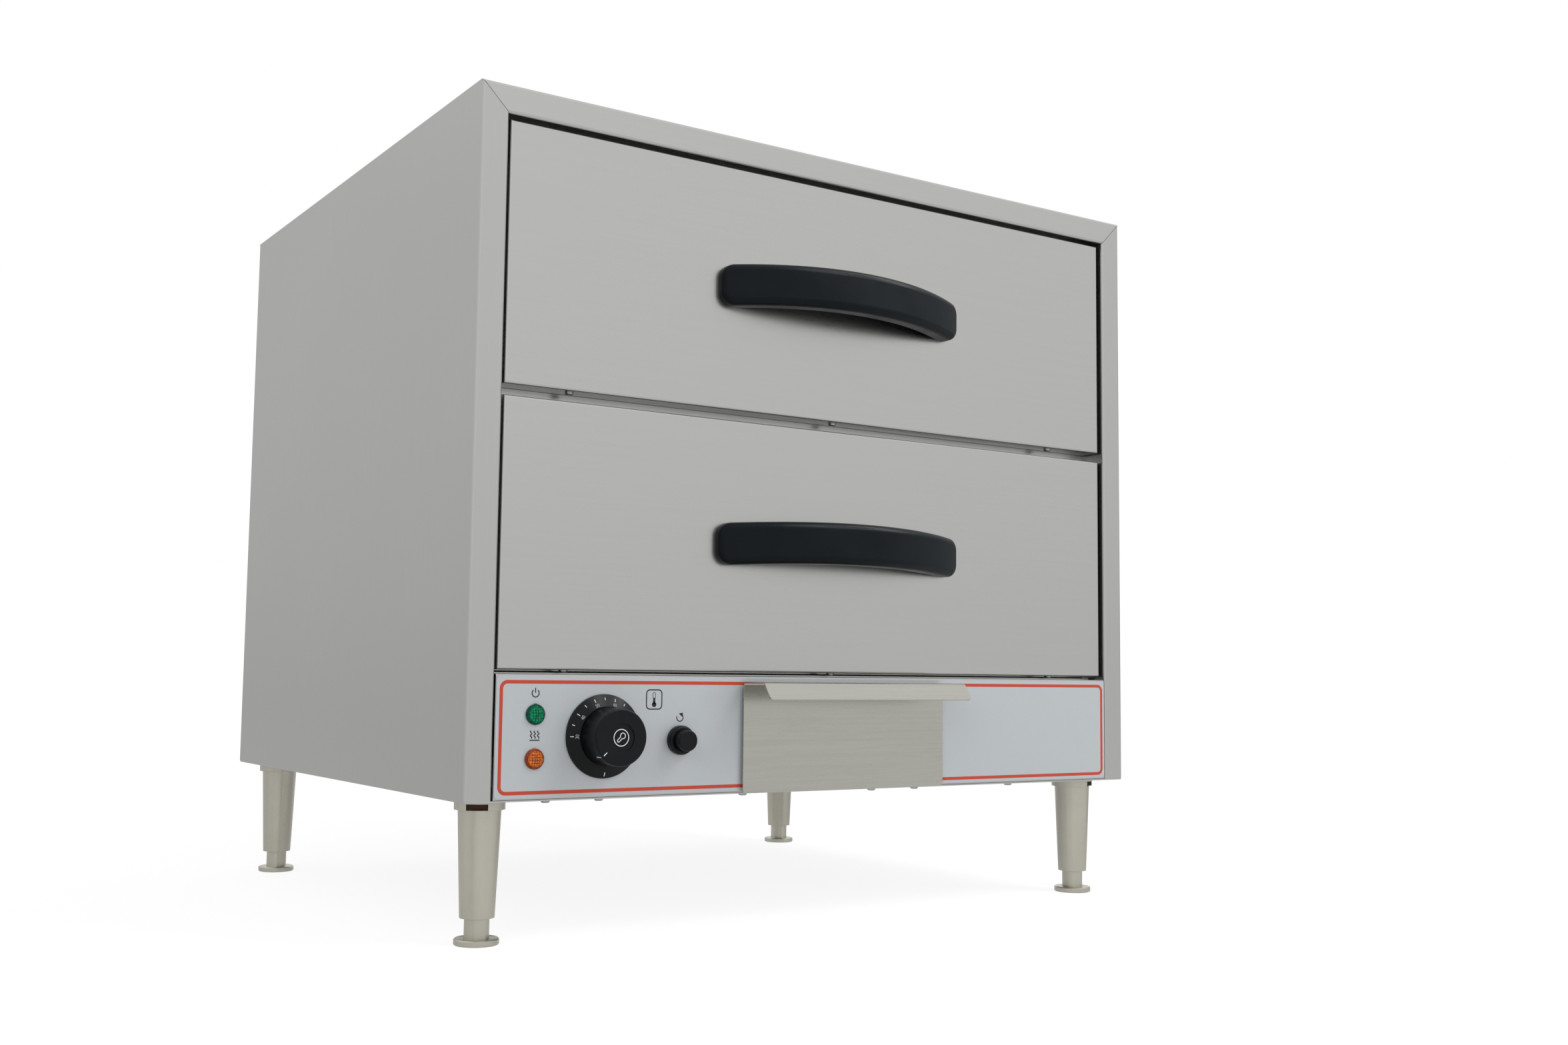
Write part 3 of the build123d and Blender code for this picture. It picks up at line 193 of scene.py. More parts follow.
def turned(name, colour, rough=0.3):
    """Satin nickel turned in a lathe: rings that draw reflections out upright, cloudy plating."""
    finish = Finish(name, Metallic=1.0, Anisotropic=0.75, Anisotropic_Rotation=0.25)
    settings = {"direction_type": "RADIAL", "axis": "Z"}
    finish.feed("Tangent", add_node(finish.tree, "ShaderNodeTangent", settings).outputs[0])
    drawn = finish.noise(1500.0, drawn_out("Z", 0.03))
    rings = finish.noise(2600.0, (0.02, 0.02, 1), detail=2.0)
    wear = finish.noise(30.0)
    tone = finish.total((drawn, 0.5), (wear, 0.5))
    finish.colour(tone, shade(colour, 0.86), shade(colour, 1.12))
    finish.roughness(drawn, rough - 0.04, rough + 0.06)
    finish.bumps((rings, 2 * MICRON), (drawn, 3 * MICRON), edge=0.5 * MM)
    return finish.material


def moulded(name, colour, rough=0.45, specular=0.4, texture=30 * MICRON, grain=1400.0):
    """Moulded plastic: pebbled skin, soft tone changes and a faint bloom of handling."""
    finish = Finish(name, Specular_IOR_Level=specular)
    pebbles = finish.cells(grain, "SMOOTH_F1")
    tone = finish.noise(28.0, detail=4.0)
    bloom = 1.35
    finish.colour(tone, shade(colour, 1 / bloom), shade(colour, bloom))
    finish.roughness(tone, rough - 0.05, rough + 0.07)
    dust = finish.noise(3500.0, detail=2.0)
    finish.bumps((pebbles, texture), (dust, texture / 3), edge=0.3 * MM)
    return finish.material


def film(name, colour):
    """Printed film: a satin, finely stippled face with a slight metallic fleck under it."""
    finish = Finish(name, Specular_IOR_Level=0.45, Metallic=0.25)
    stipple = finish.noise(2600.0, roughness=0.7)
    fleck = finish.noise(900.0, detail=4.0, roughness=0.75)
    finish.colour(fleck, shade(colour, 0.93), shade(colour, 1.07))
    finish.roughness(stipple, 0.34, 0.5)
    finish.bumps((stipple, 15 * MICRON), edge=0.2 * MM)
    return finish.material


def ink(name, colour):
    """Screen-printed ink: slightly uneven film with pinholes."""
    finish = Finish(name, Specular_IOR_Level=0.35)
    cover = finish.noise(1800.0, detail=4.0, roughness=0.7)
    finish.colour(cover, shade(colour, 0.88), shade(colour, 1.12))
    finish.roughness(cover, 0.38, 0.55)
    finish.bumps((cover, 10 * MICRON))
    return finish.material


def heated(name, colour, straw=(0.16, 0.11, 0.09)):
    """Sheathed heating element: dark scale with straw tempering."""
    finish = Finish(name, Metallic=0.8)
    temper = finish.noise(22.0, detail=4.0)
    scale = finish.noise(700.0, detail=4.0, roughness=0.7)
    finish.colour(temper, shade(colour, 0.6), straw)
    finish.roughness(scale, 0.42, 0.6)
    finish.bumps((scale, 40 * MICRON))
    return finish.material


def wool(name, colour):
    """Mineral wool: matted fibres in clumps."""
    finish = Finish(name, Specular_IOR_Level=0.1, Sheen_Weight=0.3)
    clumps = finish.noise(60.0, detail=6.0, roughness=0.7)
    fibres = finish.noise(900.0, (1, 0.15, 0.6), detail=5.0, roughness=0.8)
    finish.colour(clumps, shade(colour, 0.7), shade(colour, 1.15))
    finish.roughness(fibres, 0.85, 1.0)
    finish.bumps((clumps, 1.2 * MM), (fibres, 0.4 * MM))
    return finish.material


def lens(name, colour, glow):
    """Moulded lens: coloured plastic with small facets; cells paint its colour lighter and darker
    as painted highlights on the facets and painted shade for depth, and a faint emission is a
    painted glow.
    """
    # the emission is a faint painted glow that deepens the colour
    finish = Finish(name, Specular_IOR_Level=0.12, Emission_Strength=glow)
    # these cells are painted highlights and painted shade in the colour; they also set roughness
    # and bumps
    depth = finish.cells(620.0)
    finish.colour(depth, shade(colour, 0.4), shade(colour, 1.8))
    finish.roughness(depth, 0.14, 0.26)
    finish.bumps((depth, 50 * MICRON))
    finish.feed("Emission Color", (*colour, 1))
    return finish.material


STEEL_SIDE = (0.51, 0.515, 0.495)
STEEL_FRONT = (0.53, 0.53, 0.515)
STEEL_TRAY = (0.48, 0.475, 0.43)
STEEL_INNER = (0.44, 0.44, 0.43)
STEEL_PAN = (0.56, 0.56, 0.55)
HANDLE_BLACK = (0.0015, 0.0032, 0.0046)
KNOB_BLACK = (0.002, 0.0027, 0.0032)

FINISHES = {
    "outer_steel": brushed("brushed_steel_upright", STEEL_SIDE, "Z"),
    "front_steel": brushed("brushed_steel_fronts", STEEL_FRONT, "X"),
    "inner_steel": brushed("mill_steel", STEEL_INNER, "Y", rough=0.34, contrast=0.1),
    "pan_steel": brushed("pressed_steel", STEEL_PAN, "X", rough=0.24, contrast=0.08),
    "zinc_steel": plated("zinc_plating", (0.46, 0.48, 0.5), rough=0.3),
    "screw_steel": plated("nickel_screw", (0.42, 0.42, 0.4), rough=0.28, spots=1500.0),
    "element_steel": heated("element_scale", (0.09, 0.085, 0.08)),
    "leg_metal": turned("satin_nickel", (0.55, 0.53, 0.455)),
    "handle_plastic": moulded("handle_plastic", HANDLE_BLACK, 0.3, 0.13, 10 * MICRON, 1600.0),
    "knob_plastic": moulded("knob_plastic", KNOB_BLACK, 0.3, 0.18, 5 * MICRON, 1800.0),
    "printed_film": film("printed_film", (0.43, 0.455, 0.475)),
    # the lenses' emission is a faint painted glow, and their cells paint highlights and shade
    "green_lens": lens("green_lens", (0.0005, 0.17, 0.065), glow=0.05),
    "amber_lens": lens("amber_lens", (0.46, 0.115, 0.016), glow=0.1),
    "control_plastic": moulded("control_plastic", (0.03, 0.03, 0.03), rough=0.5),
    "capillary_copper": plated("drawn_copper", (0.6, 0.3, 0.18), rough=0.3),
    "mineral_wool": wool("mineral_wool", (0.5, 0.45, 0.32)),
}

LEVEL_NODES = ("top_panel", "control_panel", "middle_rail", "lower_rail", "bottom_panel")
NODE_FINISHES = dict.fromkeys(LEVEL_NODES, brushed("brushed_steel_level", STEEL_FRONT, "X"))
NODE_FINISHES["tray_front"] = brushed("brushed_steel_tray", STEEL_TRAY, "X", 0.26, 0.2)
# the rims' cells paint highlights and shade too
NODE_FINISHES["green_lamp"] = lens("green_rim", (0.002, 0.045, 0.026), glow=0.0)
NODE_FINISHES["amber_lamp"] = lens("amber_rim", (0.17, 0.035, 0.012), glow=0.0)

for name, node in nodes.items():
    node.data.materials.clear()
    node.data.materials.append(NODE_FINISHES.get(name, FINISHES[slot_of[name]]))


# ---- meshes ----
MITRE_LIMIT = 0.35  # least cosine by which a corner's mitre is drawn out


def piece(name, points, faces, material, body, slot):
    mesh = bpy.data.meshes.new(name)
    mesh.from_pydata([tuple(point) for point in points], [], faces)
    mesh.validate()
    mesh.materials.append(material)
    made = bpy.data.objects.new(name, mesh)
    bpy.context.scene.collection.objects.link(made)
    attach(made, body)
    return made


class Drawing:
    """Thin raised shapes, given in millimetres on a surface and placed on it by a rule."""

    def __init__(self, thickness=0.06):
        self.points = []
        self.faces = []
        self.thickness = thickness

    def prism(self, outline, rule):
        """A filled outline, anticlockwise in the drawing."""
        start, count = len(self.points), len(outline)
        for height in (self.thickness, -self.thickness / 2):
            self.points += [rule(*point, height) for point in outline]
        top = range(start, start + count)
        bottom = range(start + count, start + 2 * count)
        self.faces += [list(top), list(reversed(bottom))]
        for i in range(count):
            after = (i + 1) % count
            self.faces.append([top[after], top[i], bottom[i], bottom[after]])

    def line(self, points, width, rule, closed=False):
        """A line of that width, with mitred corners, made of one prism for each stretch."""
        points = [Vector(point) for point in points]
        left, right = [], []
        count = len(points)
        for i, point in enumerate(points):
            back = point - points[i - 1] if closed or i else None
            ahead = points[(i + 1) % count] - point if closed or i < count - 1 else None
            back = (back or ahead).normalized()
            ahead = (ahead or back).normalized()
            along = (back + ahead).normalized()
            across = Vector((-along.y, along.x))
            mitre = max(MITRE_LIMIT, across.dot(Vector((-back.y, back.x))))
            left.append(point + across * (width / 2 / mitre))
            right.append(point - across * (width / 2 / mitre))
        for i in range(count if closed else count - 1):
            after = (i + 1) % count
            self.prism([right[i], right[after], left[after], left[i]], rule)

    def disc(self, centre, radius, rule, count=24):
        self.prism([polar(centre, radius, 360 * i / count) for i in range(count)], rule)

    def build(self, name, material, body, slot):
        return piece(name, self.points, self.faces, material, body, slot)


def polar(centre, radius, angle):
    turn = math.radians(angle)
    return (centre[0] + radius * math.cos(turn), centre[1] + radius * math.sin(turn))


def arc(centre, radius, start, end, count=24):
    return [polar(centre, radius, start + (end - start) * i / count) for i in range(count + 1)]


def rounded_box(centre, width, height, corner, count=6):
    """Outline of a rounded rectangle, anticlockwise."""
    points = []
    for index, (side, up) in enumerate(((1, 1), (-1, 1), (-1, -1), (1, -1))):
        across, above = side * (width / 2 - corner), up * (height / 2 - corner)
        middle = (centre[0] + across, centre[1] + above)
        points += arc(middle, corner, 90 * index, 90 * index + 90, count)
    return points


def moved(points, centre, angle=0.0):
    cos, sin = math.cos(math.radians(angle)), math.sin(math.radians(angle))
    return [(centre[0] + x * cos - y * sin, centre[1] + x * sin + y * cos) for x, y in points]


def middle_of(node):
    low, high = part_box(node)
    return (low + high) / 2


def radial(angle):
    """Unit vectors outwards and sideways (anticlockwise) at that angle in degrees."""
    turn = math.radians(angle)
    return Vector((math.cos(turn), math.sin(turn))), Vector((-math.sin(turn), math.cos(turn)))


# ---- printed panel ----
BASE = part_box("left_side_panel")[0].z  # lower edge of the cabinet's sides
FILM_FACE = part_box("panel_overlay")[0].y
BORDER_LOW, BORDER_HIGH = (-321.1, 5.5), (321.5, 90.9)
BORDER_CORNER, BORDER_WIDTH = 5.1, 2.8
STROKE = 0.85
POWER_Z, HEAT_Z, RESET_Z = 82.2, 49.2, 62.6
THERMOMETER = (-186.2, 77.4)


def on_panel(x, z, height):
    """A point over the printed film: x from the cabinet's middle, z from its lower edge."""
    return Vector((x * MM, FILM_FACE - height * MM, BASE + z * MM))


def panel_border(red):
    drawing = Drawing()
    centre = [(low + high) / 2 for low, high in zip(BORDER_LOW, BORDER_HIGH)]
    width, height = [high - low for low, high in zip(BORDER_LOW, BORDER_HIGH)]
    outline = rounded_box(centre, width, height, BORDER_CORNER, 8)
    drawing.line(outline, BORDER_WIDTH, on_panel, closed=True)
    drawing.build("panel_border", red, "cabinet", "printed_film")


def power_symbol(drawing, centre):
    """An open circle with a line through the gap."""
    drawing.line(arc(centre, 3.0, 130, 410), STROKE, on_panel)
    drawing.line(moved([(0, 0.3), (0, 4.2)], centre), STROKE, on_panel)


def heat_symbol(drawing, centre):
    """Three waves that rise from a line."""
    drawing.line(moved([(-4.3, -3.4), (4.3, -3.4)], centre), STROKE, on_panel)
    steps = 24
    for x in (-3.0, 0.0, 3.0):
        wave = [
            (x + 0.7 * math.sin(i * math.pi / 6), -2.0 + i * 6.0 / steps) for i in range(steps + 1)
        ]
        drawing.line(moved(wave, centre), 0.8, on_panel)


def reset_symbol(drawing, centre):
    """An arrow that turns back on itself."""
    drawing.line(arc(centre, 3.0, -200, 62, 30), STROKE, on_panel)
    head = [(-1.7, -1.7), (2.1, 0.0), (-1.7, 1.7)]
    drawing.prism(moved(head, polar(centre, 3.0, 72), 165), on_panel)


def temperature_symbol(drawing, centre):
    """A thermometer in a rounded frame."""
    drawing.line(rounded_box(centre, 14.4, 15.6, 3.2), 0.95, on_panel, closed=True)
    drawing.disc((centre[0], centre[1] - 4.1), 2.1, on_panel)
    drawing.line(moved([(0, -3.6), (0, 1.4)], centre), 2.0, on_panel)
    half = 1.15
    cap = arc((centre[0], centre[1] + 4.6), half, 180, 0, 10)
    right, left = moved([(half, 1.0), (-half, 1.0)], centre)
    drawing.line([left] + cap + [right], 0.45, on_panel)


def panel_symbols(black):
    drawing = Drawing()
    lamp_x = middle_of("green_lamp").x / MM
    power_symbol(drawing, (lamp_x, POWER_Z))
    heat_symbol(drawing, (lamp_x, HEAT_Z))
    reset_symbol(drawing, (middle_of("reset_button").x / MM, RESET_Z))
    temperature_symbol(drawing, THERMOMETER)
    drawing.build("panel_symbols", black, "cabinet", "printed_film")


# ---- dial ----
DIAL = middle_of("dial_bezel")
DIAL_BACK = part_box("dial_bezel")[1].y
DIAL_EDGE = (33.3, 1.8)  # radius and height where the sloping face begins
DIAL_TOP = (23.8, 6.5)  # and where it ends under the knob
FIRST_MARK, LAST_MARK, MARK_STEP = 30, 90, 5
START_ANGLE = 180.0
TURN = 17.7  # clockwise turn of the knob for each mark
OFF_ANGLE, OFF_START, OFF_END, OFF_WIDTH = -90, 28.4, 31.6, 0.55
LONG_TICK, SHORT_TICK, TICK_END, TICK_WIDTH = 28.2, 28.7, 30.7, 0.5
NUMBER_SIZE, NUMBER_RADIUS = 3.5, 24.6
KNOB_LENGTH = 24
KNOB_TAPER = 0.0167  # loss of radius along the side, towards the face
KNOB_DISH = 0.8  # depth of the dished face
RING_RADIUS, RING_WIDTH = 6.5, 0.55
PRINT_LIFT = 0.02  # middle of the print over the knob's side
POINTER_ANGLE = 222
POINTER_WIDTH = 0.6


def bezel_height(radius):
    share = (DIAL_EDGE[0] - radius) / (DIAL_EDGE[0] - DIAL_TOP[0])
    return DIAL_EDGE[1] + share * (DIAL_TOP[1] - DIAL_EDGE[1])


def on_bezel(angle):
    """A rule for points across and up from the dial's middle, turned so that up points outwards."""
    out, across = radial(angle)

    def rule(x, up, height):
        spot = out * up - across * x
        level = bezel_height(spot.length) + height
        return Vector((DIAL.x + spot.x * MM, DIAL_BACK - level * MM, DIAL.z + spot.y * MM))

    return rule


def digits(text, size):
    """Flat outlines of plain digits as a mesh: points and faces, centred."""
    curve = bpy.data.curves.new("digits", "FONT")
    curve.body = text
    curve.size = size
    curve.align_x = "CENTER"
    made = bpy.data.objects.new("digits", curve)
    mesh = bpy.data.meshes.new_from_object(made)
    points = [(point.co.x, point.co.y) for point in mesh.vertices]
    faces = [list(face.vertices) for face in mesh.polygons]
    bpy.data.objects.remove(made)
    bpy.data.curves.remove(curve)
    bpy.data.meshes.remove(mesh)
    return points, faces


def dial_scale(white, grey):
    """Marks round the bezel's sloping face, a number at every second one, and the off mark."""
    ticks, numbers = Drawing(0.05), Drawing(0.05)
    for index, mark in enumerate(range(FIRST_MARK, LAST_MARK + 1, MARK_STEP)):
        rule = on_bezel(START_ANGLE - TURN * index)
        numbered = mark % 10 == 0
        tick = LONG_TICK if numbered else SHORT_TICK
        ticks.line([(0, tick), (0, TICK_END)], TICK_WIDTH, rule)
        if numbered:
            points, faces = digits(str(mark), NUMBER_SIZE)
            start = len(numbers.points)
            numbers.points += [rule(x, y + NUMBER_RADIUS, numbers.thickness) for x, y in points]
            numbers.faces += [[start + i for i in face] for face in faces]
    ticks.line([(0, OFF_START), (0, OFF_END)], OFF_WIDTH, on_bezel(OFF_ANGLE))
    ticks.build("dial_ticks", white, "cabinet", "knob_plastic")
    numbers.build("dial_numbers", grey, "cabinet", "knob_plastic")


def knob_marks(white):
    """Ring and thermometer in the knob's dished face, and the pointer along its side."""
    knob_low, knob_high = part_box("thermostat_knob")
    face = knob_low.y
    floor = face + KNOB_DISH * MM
    radius = (knob_high.x - knob_low.x) / 2 / MM
    out, across = radial(POINTER_ANGLE)

    def on_dish(x, z, height):
        return Vector((DIAL.x + x * MM, floor - height * MM, DIAL.z + z * MM))

    def on_side(x, along, height):
        reach = radius - KNOB_TAPER * (KNOB_LENGTH - along) + PRINT_LIFT + height
        spot = out * reach + across * x
        return Vector((DIAL.x + spot.x * MM, face + along * MM, DIAL.z + spot.y * MM))

    def on_rim(x, reach, height):
        spot = out * reach + across * x
        return Vector((DIAL.x + spot.x * MM, face - height * MM, DIAL.z + spot.y * MM))

    drawing = Drawing(0.05)
    drawing.line(arc((0, 0), RING_RADIUS, 0, 360, 48)[:-1], RING_WIDTH, on_dish, closed=True)
    bulb = arc((2.0, 0.0), 2.2, -138, 138)
    tip = arc((-3.4, 0.0), 1.0, 90, 270, 10)
    shape = bulb + [(0.0, 1.0)] + tip + [(0.0, -1.0)]
    drawing.line(moved(shape, (0, 0), 45.0), 0.5, on_dish, closed=True)
    drawing.build("knob_symbol", white, "knob", "knob_plastic")

    pointer = Drawing(0.04)
    pointer.line([(0, 1.8), (0, 9.0)], POINTER_WIDTH, on_side)
    pointer.line([(0, 20.8), (0, 17.0)], POINTER_WIDTH, on_rim)
    pointer.build("knob_pointer", white, "knob", "knob_plastic")


# ---- lamps ----
LENS_CELLS = 44
LENS_RADIUS = 6.4
LENS_SEAT = 1.6  # height of its edge over the film
LENS_TOP = 4.3
LENS_DROP, LENS_DROP_RADIUS = 1.25, 6.6  # how far the dome falls at that radius
PYRAMID_PITCH, PYRAMID_SLOPE, PYRAMID_DEPTH = 2.15, 1.1, 0.42


def lens_height(x, z):
    dome = LENS_TOP - LENS_DROP * (math.hypot(x, z) / LENS_DROP_RADIUS) ** 2
    groove = min(abs((place / PYRAMID_PITCH) % 1 - 0.5) for place in (x, z))
    return dome - (PYRAMID_DEPTH - groove * PYRAMID_SLOPE)


def lamp_lens(node, slot):
    """Domed lens with rows of small pyramids, as a square grid bent into a disc."""
    middle = middle_of(node)
    steps = [2 * i / LENS_CELLS - 1 for i in range(LENS_CELLS + 1)]
    points, faces = [], []
    for v in steps:
        for u in steps:
            x = u * math.sqrt(1 - v * v / 2) * LENS_RADIUS
            z = v * math.sqrt(1 - u * u / 2) * LENS_RADIUS
            height = LENS_SEAT if 1 in (abs(u), abs(v)) else lens_height(x, z)
            points.append((middle.x + x * MM, FILM_FACE - height * MM, middle.z + z * MM))
    row = LENS_CELLS + 1
    for j in range(LENS_CELLS):
        for start in range(j * row, j * row + LENS_CELLS):
            faces.append([start, start + 1, start + row + 1, start + row])
    piece(node + "_lens", points, faces, FINISHES[slot], "cabinet", slot)


def lamp_key(node, slot):
    """Small key at the top of the lamp's rim."""
    middle, top = middle_of(node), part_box(node)[1].z

    def rule(x, z, height):
        return Vector((middle.x + x * MM, FILM_FACE - height * MM, top + z * MM))

    drawing = Drawing(1.3)
    outline = [(-1.1, -0.6), (1.1, -0.6), (1.1, 0.25), (0.7, 0.6), (-0.7, 0.6), (-1.1, 0.25)]
    drawing.prism(outline, rule)
    drawing.build(node + "_key", FINISHES[slot], "cabinet", slot)


# ---- legs ----
DECK = 12  # underside of the cabinet's base, below the top of a leg
SLOT_ANGLE = 60
SLOT_HALF = 8.4
SLOT_WALL = 14.72  # radius of the slot's wall
SLOT_LOW, SLOT_HIGH = -8.85, -3.95
ROOF_INNER, ROOF_OUTER, ROOF = 14.7, 17.9, -3.9


def upright_box(left, right, low, high):
    return [(left, low), (right, low), (right, high), (left, high)]


def slot_lining(leg, painted_shade):
    """Painted shade inside the spanner slot in the flange of a leg: a dark lining on its wall and
    its roof.
    """
    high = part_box("leg_" + leg)[1]
    middle = middle_of("leg_" + leg)
    deck = high.z - DECK * MM
    angle = math.radians(SLOT_ANGLE)
    side = math.copysign(math.cos(angle), middle.x)
    back = math.copysign(math.sin(angle), middle.y)
    out = Vector((side, back))
    across = Vector((-back, side))

    def place(spot, level):
        return Vector((middle.x + spot.x * MM, middle.y + spot.y * MM, deck + level * MM))

    def on_wall(x, z, height):
        return place(out * (SLOT_WALL + height) + across * x, z)

    def on_roof(x, reach, height):
        return place(out * reach + across * x, ROOF - height)

    drawing = Drawing(0.08)
    drawing.prism(upright_box(-SLOT_HALF, SLOT_HALF, SLOT_LOW, SLOT_HIGH), on_wall)
    drawing.prism(upright_box(-SLOT_HALF, SLOT_HALF, ROOF_INNER, ROOF_OUTER), on_roof)
    drawing.build("leg_slot_" + leg, painted_shade, "cabinet", "leg_metal")


# ---- screws ----
HEAD_HEIGHT = 2.2 * MM
END_DEPTH = 0.3 * MM  # points this near to an end of a screw belong to it
DOME = ((1.0, 0.0), (1.0, 0.45), (0.9, 0.8), (0.68, 1.0))  # shares of the head's radius and height
CROSS_ARM, CROSS_HALF, CROSS_DEPTH, CROSS_FLOOR = 0.5, 0.12, 0.75, 0.6


def loose_parts(node):
    """Points of each separate solid in a node."""
    mesh = nodes[node].data
    group = list(range(len(mesh.vertices)))

    def root(index):
        while group[index] != index:
            group[index] = group[group[index]]
            index = group[index]
        return index

    shared = {}
    for vertex in mesh.vertices:
        key = tuple(round(part, 6) for part in vertex.co)
        if key in shared:
            group[root(vertex.index)] = root(shared[key])
        else:
            shared[key] = vertex.index
    for edge in mesh.edges:
        group[root(edge.vertices[0])] = root(edge.vertices[1])
    parts = {}
    for vertex in mesh.vertices:
        parts.setdefault(root(vertex.index), []).append(vertex.co.copy())
    return list(parts.values())


def screw_shape(radius, head, shank, length):
    """A pan-head screw along +Z with its head's underside at 0: domed head with a cross recess."""
    count = 32
    points, faces = [], []
    rings = [(shank, -length), (shank, 0.0)]
    rings += [(radius * reach, head * level) for reach, level in DOME]
    for reach, level in rings:
        circle = [polar((0, 0), reach, 360 * i / count) for i in range(count)]
        points += [Vector((*spot, level)) for spot in circle]
    for ring in range(len(rings) - 1):
        for i in range(count):
            after = (i + 1) % count
            first, second = ring * count, (ring + 1) * count
            faces.append([first + i, first + after, second + after, second + i])
    faces.append(list(reversed(range(count))))
    # the top is a ring out to the cross, then the cross's walls and floor
    arm, half = radius * CROSS_ARM, radius * CROSS_HALF
    corners = [(arm, -half), (arm, half), (half, half), (half, arm), (-half, arm), (-half, half)]
    corners += [(-x, -y) for x, y in corners]
    top = (len(rings) - 1) * count
    rim = len(points)
    floor = rim + len(corners)
    points += [Vector((x, y, head)) for x, y in corners]
    deep = head - head * CROSS_DEPTH
    points += [Vector((x * CROSS_FLOOR, y * CROSS_FLOOR, deep)) for x, y in corners]
    bearings = [math.degrees(math.atan2(y, x)) % 360 for x, y in corners]
    spread = [round(bearing / 360 * count) % count for bearing in bearings]
    for i, start in enumerate(spread):
        after = (i + 1) % len(corners)
        steps = (spread[after] - start) % count
        ring = [top + (start + step) % count for step in range(steps + 1)]
        faces.append(ring + [rim + after, rim + i])
        faces.append([rim + i, rim + after, floor + after, floor + i])
    faces.append([floor + i for i in range(len(corners))])
    return points, faces


def screw_at(part):
    """Screw with a cross in its head, in the place and size of the plain one with those points."""
    low = Vector([min(point[axis] for point in part) for axis in range(3)])
    high = Vector([max(point[axis] for point in part) for axis in range(3)])
    size, middle = high - low, (low + high) / 2
    unlike = [abs(size[(axis + 1) % 3] - size[(axis + 2) % 3]) for axis in range(3)]
    axis = unlike.index(min(unlike))

    def reach_at(level):
        """Greatest distance from the screw's axis at one of its ends."""
        offsets = [point - middle for point in part if abs(point[axis] - level) < END_DEPTH]
        for offset in offsets:
            offset[axis] = 0.0
        return max(offset.length for offset in offsets)

    reach_low, reach_high = reach_at(low[axis]), reach_at(high[axis])
    forward = reach_high > reach_low
    length = size[axis] - HEAD_HEIGHT
    shank = min(reach_low, reach_high)
    shape, sides = screw_shape(size[(axis + 1) % 3] / 2, HEAD_HEIGHT, shank, length)
    direction = Vector((0.0, 0.0, 0.0))
    direction[axis] = 1.0 if forward else -1.0
    seat = middle.copy()
    seat[axis] = high[axis] - HEAD_HEIGHT if forward else low[axis] + HEAD_HEIGHT
    spin = direction.to_track_quat("Z", "Y").to_matrix().to_4x4()
    return [seat + spin @ point for point in shape], sides


def dressed_screws(node):
    """Each screw of the node again, with a cross in its head."""
    points, faces = [], []
    for part in loose_parts(node):
        shape, sides = screw_at(part)
        start = len(points)
        points += shape
        faces += [[start + i for i in side] for side in sides]
    screw_steel = FINISHES["screw_steel"]
    made = piece(node + "_heads", points, faces, screw_steel, body_of[node], slot_of[node])
    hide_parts(node)


white_ink = ink("scale_ink", (0.75, 0.76, 0.78))
# dark brown painted shade that lines the legs' spanner slots
slot_shade_paint = moulded("slot_shade_paint", (0.055, 0.024, 0.013), 0.7, 0.2, 50 * MICRON, 900.0)
panel_border(ink("border_ink", (0.44, 0.048, 0.023)))
panel_symbols(ink("panel_ink", (0.012, 0.012, 0.014)))
dial_scale(white_ink, ink("number_ink", (0.36, 0.37, 0.38)))
knob_marks(white_ink)
for lamp, lamp_slot in (("green_lamp", "green_lens"), ("amber_lamp", "amber_lens")):
    lamp_lens(lamp, lamp_slot)
    lamp_key(lamp, lamp_slot)
for screws in ("cabinet_screws", "upper_drawer_screws", "lower_drawer_screws"):
    dressed_screws(screws)
for leg in ("front_left", "front_right", "rear_left", "rear_right"):
    # each slot gets its lining of painted shade
    slot_lining(leg, slot_shade_paint)


# ---- camera ----
PHOTO_WIDTH, PHOTO_HEIGHT = 2352, 1568
AZIMUTH, ELEVATION, ROLL = (math.radians(angle) for angle in (33.35, 4.92, 0.698))
FOCAL_PIXELS = 2382.68
CENTRE_X, CENTRE_Y = 1135.70, 804.06
CAMERA_PLACE = (-0.83169, -1.42092, 0.21323)
SENSOR = 36.0
FAR_CLIP = 100.0


def place_camera():
    """The photograph's view, from low in front of the cabinet's left corner."""
    level = math.cos(ELEVATION)
    ahead = Vector((math.sin(AZIMUTH) * level, math.cos(AZIMUTH) * level, math.sin(ELEVATION)))
    right = ahead.cross(Vector((0, 0, 1))).normalized()
    up = right.cross(ahead)
    right_rolled = right * math.cos(ROLL) + up * math.sin(ROLL)
    up_rolled = -right * math.sin(ROLL) + up * math.cos(ROLL)
    view = bpy.data.cameras.new("camera")
    view.sensor_width = SENSOR
    view.lens = FOCAL_PIXELS / PHOTO_WIDTH * SENSOR
    view.shift_x = (PHOTO_WIDTH / 2 - CENTRE_X) / PHOTO_WIDTH
    view.shift_y = (CENTRE_Y - PHOTO_HEIGHT / 2) / PHOTO_WIDTH
    view.clip_end = FAR_CLIP
    camera = bpy.data.objects.new("camera", view)
    bpy.context.scene.collection.objects.link(camera)
    turn = Matrix((right_rolled, up_rolled, -ahead)).transposed().to_4x4()
    camera.matrix_world = Matrix.Translation(CAMERA_PLACE) @ turn
    bpy.context.scene.camera = camera


